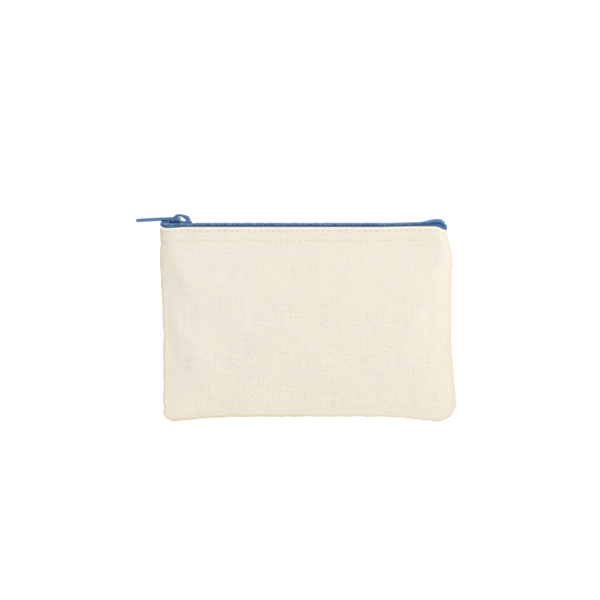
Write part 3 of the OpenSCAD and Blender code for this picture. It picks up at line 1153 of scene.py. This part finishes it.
@dataclass
class CanvasPanel:
    """One canvas panel: a single cut, folded in along its seams and over its top edge."""

    form: PouchForm
    side: Side
    cloth: bpy.types.Material
    allowance: float = 8.5
    fold_r: float = 0.35
    column_step: float = 0.9

    def _columns(self) -> np.ndarray:
        """Lists the sheet's columns.

        Returns:
            For each, its place, how far it is folded in, and its place on the flat cut.
        """
        edge = self.form.half_w - self.fold_r
        count = int(round(2 * edge / self.column_step / 2)) * 2
        face = [(x, 0.0, x) for x in np.linspace(-edge, edge, count + 1)]
        turns = np.linspace(0, math.pi, 7)[1:]
        r = self.fold_r
        fold = [(edge + r * math.sin(a), (1 - math.cos(a)) / 2, edge + r * a) for a in turns]
        last = fold[-1][2]
        inner = [(edge - d, 1.0, last + d) for d in np.linspace(0, self.allowance - self.fold_r, 8)[1:]]
        right = fold + inner
        left = [(-x, w, -s) for x, w, s in reversed(right)]
        return np.array(left + face + right)

    def _rows(self) -> np.ndarray:
        """Lists the sheet's rows from the raw bottom allowance to the hem's raw edge.

        Returns:
            For each, its height, how far it is folded in at the bottom, how far it is folded
            over at the top, and its height on the flat cut.
        """
        r = self.fold_r
        top = self.form.height - r - self.form.canvas / 2
        turns = np.linspace(0, math.pi, 7)
        raw = [(z, 1.0, 0.0, -z) for z in np.linspace(self.allowance, r, 7)[:-1]]
        bottom = [(r - r * math.sin(a), (1 - math.cos(a)) / 2, 0.0, r - r * a) for a in turns[::-1]]
        face = [(z, 0.0, 0.0, z) for z in np.linspace(r, self.form.hem_low, 96)[1:]]
        band = [(z, 0.0, 0.0, z) for z in np.linspace(self.form.hem_low, top, 28)[1:]]
        fold = [(top + r * math.sin(a), 0.0, (1 - math.cos(a)) / 2, top + r * a) for a in turns[1:]]
        last = fold[-1][3]
        hem = [(z, 0.0, 1.0, last + top - z) for z in np.linspace(top, self.form.hem_low, 12)[1:]]
        return np.array(raw + bottom + face + band + fold + hem)

    def _sheet(self) -> tuple[Shape, np.ndarray, np.ndarray]:
        """Folds the flat cut into shape.

        Returns:
            Points and faces, flat coordinates, and edge tones.
        """
        form = self.form
        columns, rows = self._columns(), self._rows()
        x, side_in, s = (columns[:, k][None, :] for k in range(3))
        z, bottom_in, hem, t = (rows[:, k][:, None] for k in range(4))
        x, side_in, s, z, bottom_in, hem, t = np.broadcast_arrays(x, side_in, s, z, bottom_in, hem, t)
        folded = np.maximum(side_in, bottom_in)
        outer = form.depth(np.clip(x, -form.half_w + self.fold_r, form.half_w - self.fold_r), z, self.side)
        y = outer * (1 - folded) + form.seam_level * folded
        y = y - form.ply * hem * (1 - 2 * side_in)
        nested = x * (1 - form.ply / form.half_w * hem)
        out_x, out_z = form.warp(nested, z)
        points = np.stack([out_x, self.side.value * y, out_z], axis=-1).reshape(-1, 3)
        flat = np.stack([s, t, 0 * s], axis=-1).reshape(-1, 3)
        # Painted shade along the side and bottom seams, stronger on the left away from the key light, and a
        # painted highlight along the top fold.
        seam = np.maximum(bump((form.half_w - np.abs(x)) / 0.9), bump(z / 0.8) * (hem < 0.5))
        seam = seam * np.where(x < 0, 1.0, 0.45)
        tone = bump((z - form.height) / 0.75) * (1 - seam) - seam
        faces = self._faces(columns, rows)
        if self.side is Side.BACK:
            faces = [f[::-1] for f in faces]
        return (points, faces), flat, tone.reshape(-1)

    def _faces(self, columns: np.ndarray, rows: np.ndarray) -> list[list[int]]:
        """Skins the grid, and cuts away cloth that would lie double in the corners of the seams.

        Args:
            columns: The sheet's columns.
            rows: The sheet's rows.

        Returns:
            Corner numbers of each face.
        """
        form = self.form
        wide = len(columns)
        faces = []
        for i in range(len(rows) - 1):
            low, high = sorted((rows[i, 0], rows[i + 1, 0]))
            in_bottom = rows[i, 1] > 0.99 and rows[i + 1, 1] > 0.99
            for j in range(wide - 1):
                near = min(abs(columns[j, 0]), abs(columns[j + 1, 0]))
                in_side = columns[j, 1] > 0.99 and columns[j + 1, 1] > 0.99
                if in_bottom and (near > form.half_w - self.allowance or in_side):
                    continue
                depth_in = form.half_w - near
                if in_side and (low < self.allowance + 0.5 or (high > form.hem_low - 0.5 and depth_in > 1.6)):
                    continue
                if in_side and rows[i, 1] > 0:
                    continue
                faces.append([i * wide + j, i * wide + j + 1, (i + 1) * wide + j + 1, (i + 1) * wide + j])
        return faces

    def build(self, mouth: Mouth) -> list[bpy.types.Object]:
        """Makes the panel, in two halves when it is the front one.

        Args:
            mouth: Parts front pieces and puts back pieces on the back half.

        Returns:
            The panel's pieces.
        """
        middle, flat, tone = self._sheet()
        label = self.side.name.lower()
        whole = cloth_sheet(f"{label}_canvas", middle, flat, tone, self.form.canvas, self.cloth)
        made = mouth.share(whole, self.side)
        for obj in made:
            enter(f"{label}_panel")
        return made


@dataclass
class ZipTape:
    """One woven tape: flat under its coil row, then down inside the hem."""

    form: PouchForm
    line: ZipLine
    side: Side
    weave: bpy.types.Material
    thick: float = 0.45
    low: float = 97.5
    reach: float = 79.0
    cut_width: float = 16.5
    flat_points: int = 6

    def _profile(self, x: float) -> np.ndarray:
        """Points of the tape's middle across its width at x, from the chain outwards.

        Args:
            x: Place along the zip.

        Returns:
            Points in millimetres.
        """
        level = -self.thick / 2 - 0.02
        across = np.linspace(0.12, self.line.row_width + 0.2, self.flat_points)
        points = self.line.place(x, across, np.full_like(across, level), self.side)
        outer = float(self.form.depth(np.array(x), np.array(self.form.height - 1.0), self.side))
        outer -= 1.5 * self.form.ply + 0.35
        start = abs(points[-1][1])
        outer = max(outer, start + 0.35)
        z_top = float(points[-1][2])
        settle = float(self.line.tape_top) + level
        bend = min(0.9, outer - start)
        rows = []
        for k in range(1, 4):
            f = k / 4
            rows.append((start + (outer - bend - start) * f, z_top + (settle - z_top) * f))
        for k in range(0, 5):
            turn = math.pi / 2 * k / 4
            rows.append((outer - bend + bend * math.sin(turn), settle - bend * (1 - math.cos(turn))))
        for z in np.linspace(settle - bend - 1.5, self.low, 6):
            rows.append((outer, float(z)))
        tail = []
        for y, z in rows:
            warped_x, warped_z = (float(c) for c in self.form.warp(np.array(x), np.array(z)))
            share = float(ease((settle + 0.5 - z) / 3))
            tail.append((x + (warped_x - x) * share, self.side.value * y, z + (warped_z - z) * share))
        return np.vstack([points, np.array(tail)])

    def build(self, mouth: Mouth) -> list[bpy.types.Object]:
        """Makes the tape, in two halves when it is the front one.

        Args:
            mouth: Parts front pieces and puts back pieces on the back half.

        Returns:
            The tape's pieces.
        """
        label = self.side.name.lower()
        start, end = self.line.left + 0.1, self.line.right + 1.6
        columns = 2 * int((end - start) / 2 / 1.1)
        xs = np.concatenate([np.linspace(start, 0, columns // 2)[:-1], np.linspace(0, end, columns // 2)])
        rings = [self._profile(float(x)) for x in xs]
        wide = len(rings[0])
        faces = []
        for i in range(len(xs) - 1):
            inside = max(abs(xs[i]), abs(xs[i + 1])) <= self.reach + 0.8
            for j in range(wide - 1 if inside else self.flat_points - 1):
                faces.append([i * wide + j, i * wide + j + 1, (i + 1) * wide + j + 1, (i + 1) * wide + j])
        threads = np.outer(np.repeat(xs, wide), [1, 0, 0])
        middle = (np.vstack(rings), faces)
        whole = cloth_sheet(f"{label}_zip_tape", middle, threads, None, self.thick, self.weave)
        made = mouth.share(whole, self.side)
        for obj in made:
            enter(f"{label}_tape")
        return made


@dataclass
class CoilRow:
    """One coil row with its filler cord and the chain stitch that holds it to the tape."""

    line: ZipLine
    side: Side
    nylon: bpy.types.Material
    cord: bpy.types.Material
    stitch: bpy.types.Material
    filament_r: float = 0.36
    points_a_turn: int = 18
    crown: float = 0.2

    def _loop(self, start: float, end: float) -> Shape:
        """Winds the monofilament from start to end along the zip.

        Args:
            start: Where the first turn begins.
            end: Where the last turn may end.

        Returns:
            Points and faces of the coil.
        """
        line = self.line
        turns = int((end - start) / line.pitch)
        steps = np.arange(turns * self.points_a_turn + 1) / self.points_a_turn
        phase = steps % 1.0
        angle = 2 * math.pi * phase
        inner, outer = -line.head_over + self.filament_r, line.row_width - self.filament_r
        middle_v, half_v = (inner + outer) / 2, (outer - inner) / 2
        half_h = (line.coil_height + self.crown) / 2 - self.filament_r
        cos_a, sin_a = np.cos(angle), np.sin(angle)
        v = middle_v + half_v * np.sign(cos_a) * np.abs(cos_a) ** 0.62
        h = (line.coil_height + self.crown) / 2 - half_h * np.sign(sin_a) * np.abs(sin_a) ** 0.8
        from_spine = (phase + 0.5) % 1.0 - 0.5
        step_over = np.floor(steps + 0.5) - 1 + ease((from_spine + 0.24) / 0.48)
        x = start + line.pitch * (0.5 * steps + 0.5 * step_over)
        radius = self.filament_r * (1 + 0.22 * bump((v - inner) / 0.5))
        path = line.place(x, v, h, self.side)
        return tube(path, radius, 7)

    def _chain_stitch(self, start: float, end: float) -> Shape:
        """Lays two threads that cross over every turn.

        Args:
            start: Where the stitch begins.
            end: Where the stitch ends.

        Returns:
            Points and faces of both threads.
        """
        line = self.line
        xs = np.linspace(start, end, int((end - start) / line.pitch * 8))
        beat = 2 * math.pi * (xs - start) / line.pitch
        threads = []
        for turn in (0.0, math.pi):
            v = line.row_width * 0.62 + 0.26 * np.sin(beat + turn)
            h = line.coil_height + self.crown - 0.2 + 0.05 * np.cos(2 * beat)
            threads.append(tube(line.place(xs, v, h, self.side), 0.12, 6))
        return join(threads)

    def _filler(self, start: float, end: float) -> Shape:
        """Lays the cord that fills the coil.

        Args:
            start: Where the cord begins.
            end: Where the cord ends.

        Returns:
            Points and faces of the cord.
        """
        line = self.line
        xs = np.linspace(start, end, int((end - start) / 0.75))
        v = np.full_like(xs, line.row_width / 2 + 0.1)
        h = np.full_like(xs, line.coil_height / 2)
        return tube(line.place(xs, v, h, self.side), 0.44 + 0.04 * np.sin(xs * 5), 8)

    def build(self, mouth: Mouth) -> list[bpy.types.Object]:
        """Makes the row's three pieces, each in two halves when it is the front row.

        Args:
            mouth: Parts front pieces and puts back pieces on the back half.

        Returns:
            The row's pieces.
        """
        label = self.side.name.lower()
        line = self.line
        shift = 0.0 if self.side is Side.FRONT else 0.5 * line.pitch
        start, end = line.left + 0.15, line.right + 1.3
        turns_left = round(-start / line.pitch)
        middle = start + turns_left * line.pitch
        spans: list[tuple[Hand | None, float, float]] = [(None, start + shift, end)]
        if self.side is Side.FRONT:
            spans = [(Hand.LEFT, start, middle), (Hand.RIGHT, middle, end)]
        kinds: tuple[tuple[str, Callable[[float, float], Shape], bpy.types.Material, str], ...] = (
            ("coil", self._loop, self.nylon, "zip_coil"),
            ("coil_cord", self._filler, self.cord, "zip_thread"),
            ("coil_thread", self._chain_stitch, self.stitch, "zip_thread"),
        )
        made = []
        for kind, shape, material, slot in kinds:
            for hand, a, b in spans:
                name = f"{label}_{kind}_piece" + (f"_{hand.name.lower()}" if hand else "")
                obj = piece(name, *shape(a, b), material)
                enter(f"{label}_{kind}")
                mouth.ride(obj, hand)
                made.append(obj)
        return made


@dataclass
class Topstitching:
    """Two rows of lockstitch through the hem and the tape of one half."""

    form: PouchForm
    side: Side
    thread: bpy.types.Material
    radius: float = 0.17
    reach: float = 74.0

    def _row(self, z: float, hand: Hand | None, seed: int) -> Shape:
        """Sews one row.

        Args:
            z: Height of the row on the flat cut.
            hand: Half of the mouth, or none for the whole row.
            seed: Seed of the small slants.

        Returns:
            Points and faces of its stitches.
        """
        pitch = self.form.stitch_pitch
        count = int(self.reach / pitch)
        rng = np.random.default_rng(seed)
        stitches = []
        for k in range(-count, count):
            slant = rng.normal(0, 0.09)
            if hand is not None and hand.value * (k + 0.5) < 0:
                continue
            u = np.linspace(0.06, 0.94, 9)
            x = (k + u) * pitch
            height = z + slant * (u - 0.5) * 2
            sink = 0.62 * np.abs(2 * u - 1) ** 3
            y = self.form.depth(x, height, self.side) + self.form.canvas / 2 + self.radius * 0.75 - sink
            out_x, out_z = self.form.warp(x, height)
            stitches.append(tube(np.stack([out_x, self.side.value * y, out_z], axis=-1), self.radius, 6))
        return join(stitches)

    def build(self, mouth: Mouth) -> list[bpy.types.Object]:
        """Makes both rows, each in two halves when they are on the front.

        Args:
            mouth: Parts front pieces and puts back pieces on the back half.

        Returns:
            The rows' pieces.
        """
        label = self.side.name.lower()
        made = []
        hands: list[Hand | None] = [Hand.LEFT, Hand.RIGHT] if self.side is Side.FRONT else [None]
        for row, z, seed in (("upper", self.form.upper_row, 41), ("lower", self.form.lower_row, 42)):
            for hand in hands:
                name = f"{label}_{row}_topstitch" + (f"_{hand.name.lower()}" if hand else "")
                obj = piece(name, *self._row(z, hand, seed), self.thread)
                enter(f"{label}_{row}_stitch")
                mouth.ride(obj, hand)
                made.append(obj)
        return made


@dataclass
class SeamSewing:
    """Lockstitch and overlock thread of the two side seams and the bottom seam."""

    form: PouchForm
    thread: bpy.types.Material
    radius: float = 0.16
    line_in: float = 1.9
    pitch: float = 3.0
    overlock_pitch: float = 1.6
    allowance: float = 8.5

    def _along(self, where: str, a: float, b: float, step: float, inset: float) -> np.ndarray:
        """Points along a seam at a distance from its edge.

        Args:
            where: left, right or bottom.
            a: First place along the seam.
            b: Last place along the seam.
            step: Distance between two points.
            inset: Distance from the seam's edge.

        Returns:
            Flat places and heights, one row each.
        """
        run = np.linspace(a, b, max(2, int((b - a) / step) + 1))
        if where == "bottom":
            return np.stack([run, np.full_like(run, inset)], axis=-1)
        sign = -1 if where == "left" else 1
        return np.stack([np.full_like(run, sign * (self.form.half_w - inset)), run], axis=-1)

    def _lockstitch(self, where: str, a: float, b: float) -> Shape:
        """Sews the seam's stitches in the gap between the two halves.

        Args:
            where: left, right or bottom.
            a: Where the seam begins.
            b: Where the seam ends.

        Returns:
            Points and faces of the thread.
        """
        flat = self._along(where, a, b, self.pitch / 6, self.line_in)
        beat = np.arange(len(flat)) * 2 * math.pi / 6
        x, z = self.form.warp(flat[:, 0], flat[:, 1])
        return tube(np.stack([x, 0.02 * np.sin(beat), z], axis=-1), 0.1, 6)

    def _overlock(self, where: str, a: float, b: float) -> Shape:
        """Winds the overlock thread round the raw edges of both allowances.

        Args:
            where: left, right or bottom.
            a: Where the winding begins.
            b: Where the winding ends.

        Returns:
            Points and faces of the thread.
        """
        turns = int((b - a) / self.overlock_pitch)
        steps = np.arange(turns * 8 + 1) / 8
        run = a + steps * (b - a) / turns
        angle = 2 * math.pi * steps
        inset = self.allowance - 0.55 + 0.75 * np.cos(angle)
        if where == "bottom":
            x, z = self.form.warp(run, inset)
        else:
            sign = -1 if where == "left" else 1
            x, z = self.form.warp(sign * (self.form.half_w - inset), run)
        return tube(np.stack([x, 0.98 * np.sin(angle), z], axis=-1), self.radius, 6)

    def build(self) -> list[bpy.types.Object]:
        """Makes the six thread pieces, which stay with the back half.

        Returns:
            The thread pieces.
        """
        made = []
        side_top, bottom_end = self.form.hem_low - 3, self.form.half_w - 4
        for where, (a, b), (inner_a, inner_b) in (
            ("left", (3.6, side_top), (9.6, side_top)),
            ("right", (3.6, side_top), (9.6, side_top)),
            ("bottom", (-bottom_end, bottom_end), (5.5 - bottom_end, bottom_end - 5.5)),
        ):
            for kind, node, shape in (
                ("lockstitch", f"{where}_seam_stitch", self._lockstitch(where, a, b)),
                ("overlocking", f"{where}_overlock", self._overlock(where, inner_a, inner_b)),
            ):
                obj = piece(f"{where}_{kind}", *shape, self.thread)
                enter(node)
                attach(obj, "back_half")
                made.append(obj)
        return made


def cast_plate(
    name: str,
    outlines: Sequence[np.ndarray],
    thick: float,
    edge: float,
    material: bpy.types.Material,
) -> Shape:
    """Casts a flat plate with rounded edges from outlines in its own plane.

    Args:
        name: Name of the plate.
        outlines: Closed outlines in millimetres, the outer one and any holes.
        thick: Thickness.
        edge: Radius of the rounded edges.
        material: Finish.

    Returns:
        Points and faces, with the plate's middle at height 0.
    """
    curve = bpy.data.curves.new(name, "CURVE")
    curve.dimensions = "2D"
    curve.fill_mode = "BOTH"
    for outline in outlines:
        spline = curve.splines.new("POLY")
        spline.points.add(len(outline) - 1)
        spline.points.foreach_set("co", [c for p in outline for c in (p[0], p[1], 0.0, 1.0)])
        spline.use_cyclic_u = True
    curve.extrude = thick / 2 - edge
    curve.bevel_depth = edge
    curve.bevel_resolution = 2
    curve.offset = -edge
    curve.materials.append(material)
    obj = bpy.data.objects.new(name, curve)
    bpy.context.scene.collection.objects.link(obj)
    obj = freeze(obj)
    mesh = obj.data
    points = np.zeros(len(mesh.vertices) * 3, np.float32)
    mesh.vertices.foreach_get("co", points)
    faces = [list(p.vertices) for p in mesh.polygons]
    bpy.data.objects.remove(obj)
    bpy.data.meshes.remove(mesh)
    return points.reshape(-1, 3).astype(float), faces


@dataclass
class Slider:
    """Die-cast slider: two plates joined by a post, flanges that hold the coil, and a bridge."""

    line: ZipLine
    enamel: bpy.types.Material
    plate: float = 0.92
    flange: float = 0.55
    run_gap: float = 0.15
    stitch_rise: float = 0.18
    tape: float = 0.5
    bridge_w: float = 2.2
    flare: float = 1.25

    def _half(self, t: np.ndarray) -> np.ndarray:
        """Works out half the plates' width.

        Args:
            t: Distance from the slider's rear.

        Returns:
            Half width in millimetres, narrowing to the nose.
        """
        length = self.line.rear - self.line.nose
        full = self.line.row_width + self.line.parted(self.line.rear - t) + self.run_gap + self.flange
        nose = np.clip((t - 0.8 * length) / (0.2 * length), 0, 1)
        return full * np.sqrt(1 - 0.75 * nose * nose) - 0.35 * ease(1 - t / 0.8)

    def _plate(self, low: float, flare: float) -> Shape:
        """Casts one plate, with shoulders that flare up beside the pull tab's arms.

        Args:
            low: Height of its lower face.
            flare: How far the shoulders rise.

        Returns:
            Points and faces.
        """
        length = self.line.rear - self.line.nose
        t = np.concatenate([[0.0, 0.08], np.linspace(0.25, length - 0.25, 26), [length - 0.08, length]])
        edge = np.minimum(t, length - t)
        depth = self.plate / 2 * (1 - 0.45 * np.square(1 - np.clip(edge / 0.25, 0, 1)))
        across = np.linspace(-1, 1, 17)
        bend = math.pi * (np.arange(1, 6) / 6 - 0.5)
        r = 0.3
        rings = []
        for place, half, deep in zip(t, self._half(t), depth):
            flat = across * (half - r)
            side_y = half - r + r * np.cos(bend)
            side_z = (deep - 0.01) * np.sin(bend)
            y = np.concatenate([flat[::-1], -side_y[::-1], flat, side_y])
            z = np.concatenate([np.full(17, deep), side_z[::-1], np.full(17, -deep), side_z])
            rise = flare * ease((np.abs(y) - 2.5) / 1.1) * ease((place / length - 0.36) / 0.4)
            x = np.full_like(y, self.line.rear - place)
            rings.append(np.stack([x, y, low + self.plate / 2 + z + rise], axis=-1))
        return np.vstack(rings), ring_faces(len(rings), len(rings[0]))

    def _flange(self, sign: int, low: float, high: float, inset: float) -> Shape:
        """Casts one flange that hangs from the upper plate.

        Args:
            sign: Side of the slider.
            low: Height of its lower face.
            high: Height of its upper face.
            inset: How far its outer face lies in from the plate's edge.

        Returns:
            Points and faces.
        """
        length = 0.6 * (self.line.rear - self.line.nose)
        t = np.linspace(0.15, length, 24)
        outer = self._half(t) - inset
        inner = self._half(t) - self.flange
        edge = np.vstack([
            np.stack([self.line.rear - t, sign * outer], axis=-1),
            np.stack([self.line.rear - t, sign * inner], axis=-1)[::-1],
        ])
        if sign > 0:
            edge = edge[::-1]
        points, faces = cast_plate("flange", [edge], high - low, 0.08, self.enamel)
        return points + [0, 0, (low + high) / 2], faces

    def _bridge(self, top: float) -> Shape:
        """Sweeps the bridge's bar from the rear foot over the pull tab's rung to the nose.

        Args:
            top: Height of the upper plate's top face.

        Returns:
            Points and faces.
        """
        # Distance from the slider's rear, height above the plate, and half the bar's thickness
        knots = [
            (2.3, -0.35, 1.3), (2.3, 0.85, 1.35), (2.75, 1.75, 1.3), (3.75, 2.4, 1.1), (5.3, 3.08, 0.8),
            (7.2, 3.46, 0.66), (9.0, 3.05, 0.68), (10.1, 1.95, 0.68), (10.35, 0.8, 0.66), (10.3, -0.35, 0.7),
        ]
        path = smooth_line(knots, 6)
        centre = np.stack([self.line.rear - path[:, 0], 0 * path[:, 0], top + path[:, 1]], axis=-1)
        along = np.gradient(centre, axis=0)
        along /= np.linalg.norm(along, axis=1)[:, None]
        out = np.cross(along, [0, 1, 0])
        sides, square = 16, 0.55
        turns = 2 * math.pi * np.arange(sides) / sides
        ring_a = np.sign(np.cos(turns)) * np.abs(np.cos(turns)) ** square
        ring_b = np.sign(np.sin(turns)) * np.abs(np.sin(turns)) ** square
        points = (centre[:, None] + out[:, None] * (ring_a[None, :] * path[:, 2:3])[..., None]
                  + np.array([0, 1, 0]) * (ring_b * self.bridge_w / 2)[None, :, None]).reshape(-1, 3)
        return points, ring_faces(len(centre), sides)

    def build(self) -> bpy.types.Object:
        """Casts the plates, flanges, post and bridge as one piece.

        Returns:
            The slider, which rides on its own body.
        """
        line = self.line
        length = line.rear - line.nose
        coil_top = line.tape_top + line.coil_height + self.stitch_rise
        upper_low = coil_top + self.run_gap
        upper_top = upper_low + self.plate
        lower_top = line.tape_top - self.tape - self.run_gap
        lower_low = lower_top - self.plate
        parts = [self._plate(upper_low, self.flare), self._plate(lower_low, 0.0)]
        for sign in (-1, 1):
            parts.append(self._flange(sign, line.tape_top + 0.3, upper_low - 0.12, 0.05))
            parts.append(self._flange(sign, upper_low - 0.3, upper_low + 0.3, 0.42))
        post_t = np.linspace(0, 1, 12)
        post_half = 0.75 * np.sin(math.pi * post_t) ** 0.6
        start, reach = 0.53 * length, 0.33 * length
        front = np.stack([line.rear - start - reach * post_t, -post_half], axis=-1)
        post = np.vstack([front, (front * [1, -1])[::-1][1:-1]])
        points, faces = cast_plate("post", [post], upper_top - lower_low - 0.4, 0.05, self.enamel)
        parts.append((points + [0, 0, (upper_top + lower_low) / 2], faces))
        parts.append(self._bridge(upper_top))
        points, faces = join(parts)
        obj = piece("slider_casting", points, faces, self.enamel)
        enter("slider_body")
        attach(obj, "slider")
        return obj


@dataclass
class PullTab:
    """Cast pull tab: a leaf with a raised rim, an eye, and the rung that rolls in the bridge."""

    hinge: tuple[float, float, float]
    enamel: bpy.types.Material
    length: float = 24.8
    thick: float = 1.5
    width: float = 6.4
    eye: float = 6.9
    arm_half: float = 2.6
    eye_half: float = 1.4
    tilt: float = 3.4

    def _half(self, r: np.ndarray) -> np.ndarray:
        """Works out half the tab's width.

        Args:
            r: Distance from the hinge.

        Returns:
            Half width in millimetres: arms, waist, leaf and rounded end.
        """
        waist = self.arm_half - 0.5 * ease((r - self.eye) / 2)
        leaf = waist + (self.width / 2 - waist) * ease((r - self.eye - 2) / 8)
        end = np.clip((r - self.length + self.width / 2) / (self.width / 2), 0, 1)
        return leaf * np.sqrt(np.clip(1 - 0.97 * end * end, 0, 1))

    def _outline(self, start: float, inset: float) -> np.ndarray:
        """Draws the tab's closed outline.

        Args:
            start: Distance from the hinge where it begins.
            inset: How far it lies in from the tab's edge.

        Returns:
            Points in the tab's own plane.
        """
        end = self.length - self.width / 2
        rounded = end + (self.width / 2 - inset) * np.sin(np.linspace(0.12, 1, 12) * math.pi / 2)
        r = np.concatenate([np.linspace(start, end, 26), rounded])
        half = np.clip(self._half(r) - inset, 0.05, None)
        side = np.stack([-r, -half], axis=-1)
        return np.vstack([side, (side * [1, -1])[::-1]])

    def build(self) -> bpy.types.Object:
        """Casts the leaf, its rim, the rung and the end bead as one piece.

        Returns:
            The pull tab, which rides on its own body.
        """
        parts = []
        outer = self._outline(-0.1, 0.0)
        corner = 0.5
        eye_end = self.eye - 0.1
        steps = np.linspace(0, math.pi / 2, 5)
        near = self.thick / 2 - 0.05
        far, wide = corner - eye_end, self.eye_half - corner
        hole = [(-near, self.eye_half), (-near, -self.eye_half)]
        hole += [(far - corner * math.sin(a), -wide - corner * math.cos(a)) for a in steps]
        hole += [(far - corner * math.cos(a), wide + corner * math.sin(a)) for a in steps]
        parts.append(cast_plate("leaf", [outer, np.array(hole)], self.thick, 0.32, self.enamel))
        rim = self._outline(self.eye + 3.0, 0.75)
        rim = np.vstack([rim, rim[:1]])
        for level in (-1, 1):
            path = np.column_stack([rim, np.full(len(rim), level * (self.thick / 2 - 0.06))])
            parts.append(tube(path, 0.24, 8))
        rung = np.array([(0, y, 0) for y in np.linspace(-self.arm_half + 0.1, self.arm_half - 0.1, 7)])
        parts.append(tube(rung, self.thick / 2 * np.array([0.8, 1, 1, 1, 1, 1, 0.8]), 20))
        bead_y = np.linspace(-self.width / 4.6, self.width / 4.6, 9)
        bead = np.array([(-self.length + 0.75, y, 0) for y in bead_y])
        parts.append(tube(bead, 0.88 * np.sqrt(np.clip(1 - (bead_y / bead_y[-1]) ** 6 * 0.8, 0, 1)), 16))
        points, faces = join(parts)
        turn = math.radians(self.tilt)
        cos_t, sin_t = math.cos(turn), math.sin(turn)
        spin = np.array([[cos_t, 0, -sin_t], [0, 1, 0], [sin_t, 0, cos_t]])
        points = points @ spin.T + np.array(self.hinge)
        obj = piece("pull_tab_casting", points, faces, self.enamel)
        enter("pull_tab")
        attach(obj, "pull")
        return obj


def main() -> None:
    """Builds the studio and every piece of the pouch."""
    logging.basicConfig(level=logging.INFO, format="%(name)s: %(message)s")
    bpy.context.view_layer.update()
    Studio().build()
    form = PouchForm.from_frame()
    line = ZipLine.from_frame()
    hinge = next(j for j in frame["joints"] if j["name"] == "pull_flip")
    canvas = TwillCanvas(stitch_rows_mm=(form.upper_row, form.lower_row)).material()
    nylon = NylonCoil().material()
    tape = PolyesterWeave("woven_polyester_tape", light="#4a7aa6", deep="#2b588e",
                          rib_mm=0.34, along=(0.0, 1.0, 1.0)).material()
    yarn = PolyesterWeave("twisted_polyester_yarn", light="#8fbfe4", deep="#3a70b0",
                          rib_mm=0.4, along=(1.0, 0.6, 0.6)).material()
    # The filler cord is coloured darker than the coil, as painted shade in the gaps between turns.
    shaded_filler = PolyesterWeave("polyester_filler_cord", light="#2a5a9c", deep="#163c7a",
                            rib_mm=0.4, along=(1.0, 0.6, 0.6)).material()
    enamel = EnamelledZinc().material()
    thread = CottonThread().material()
    # The mouth's ends lie inside the curled right end and the chain's first turns
    mouth = Mouth(right_end=line.right - 11.5, left_end=line.left + 2.5)
    made = []
    for side in Side:
        for part in (
            CanvasPanel(form, side, canvas),
            ZipTape(form, line, side, tape),
            CoilRow(line, side, nylon, shaded_filler, yarn),
            Topstitching(form, side, thread),
        ):
            made += part.build(mouth)
    made += SeamSewing(form, thread).build()
    made.append(Slider(line, enamel).build())
    made.append(PullTab(tuple(c / MM for c in hinge["pos_m"]), enamel).build())
    for obj in made:
        LOG.info("%s: %d faces", obj.name, len(obj.data.polygons))


if __name__ == "__main__":
    main()
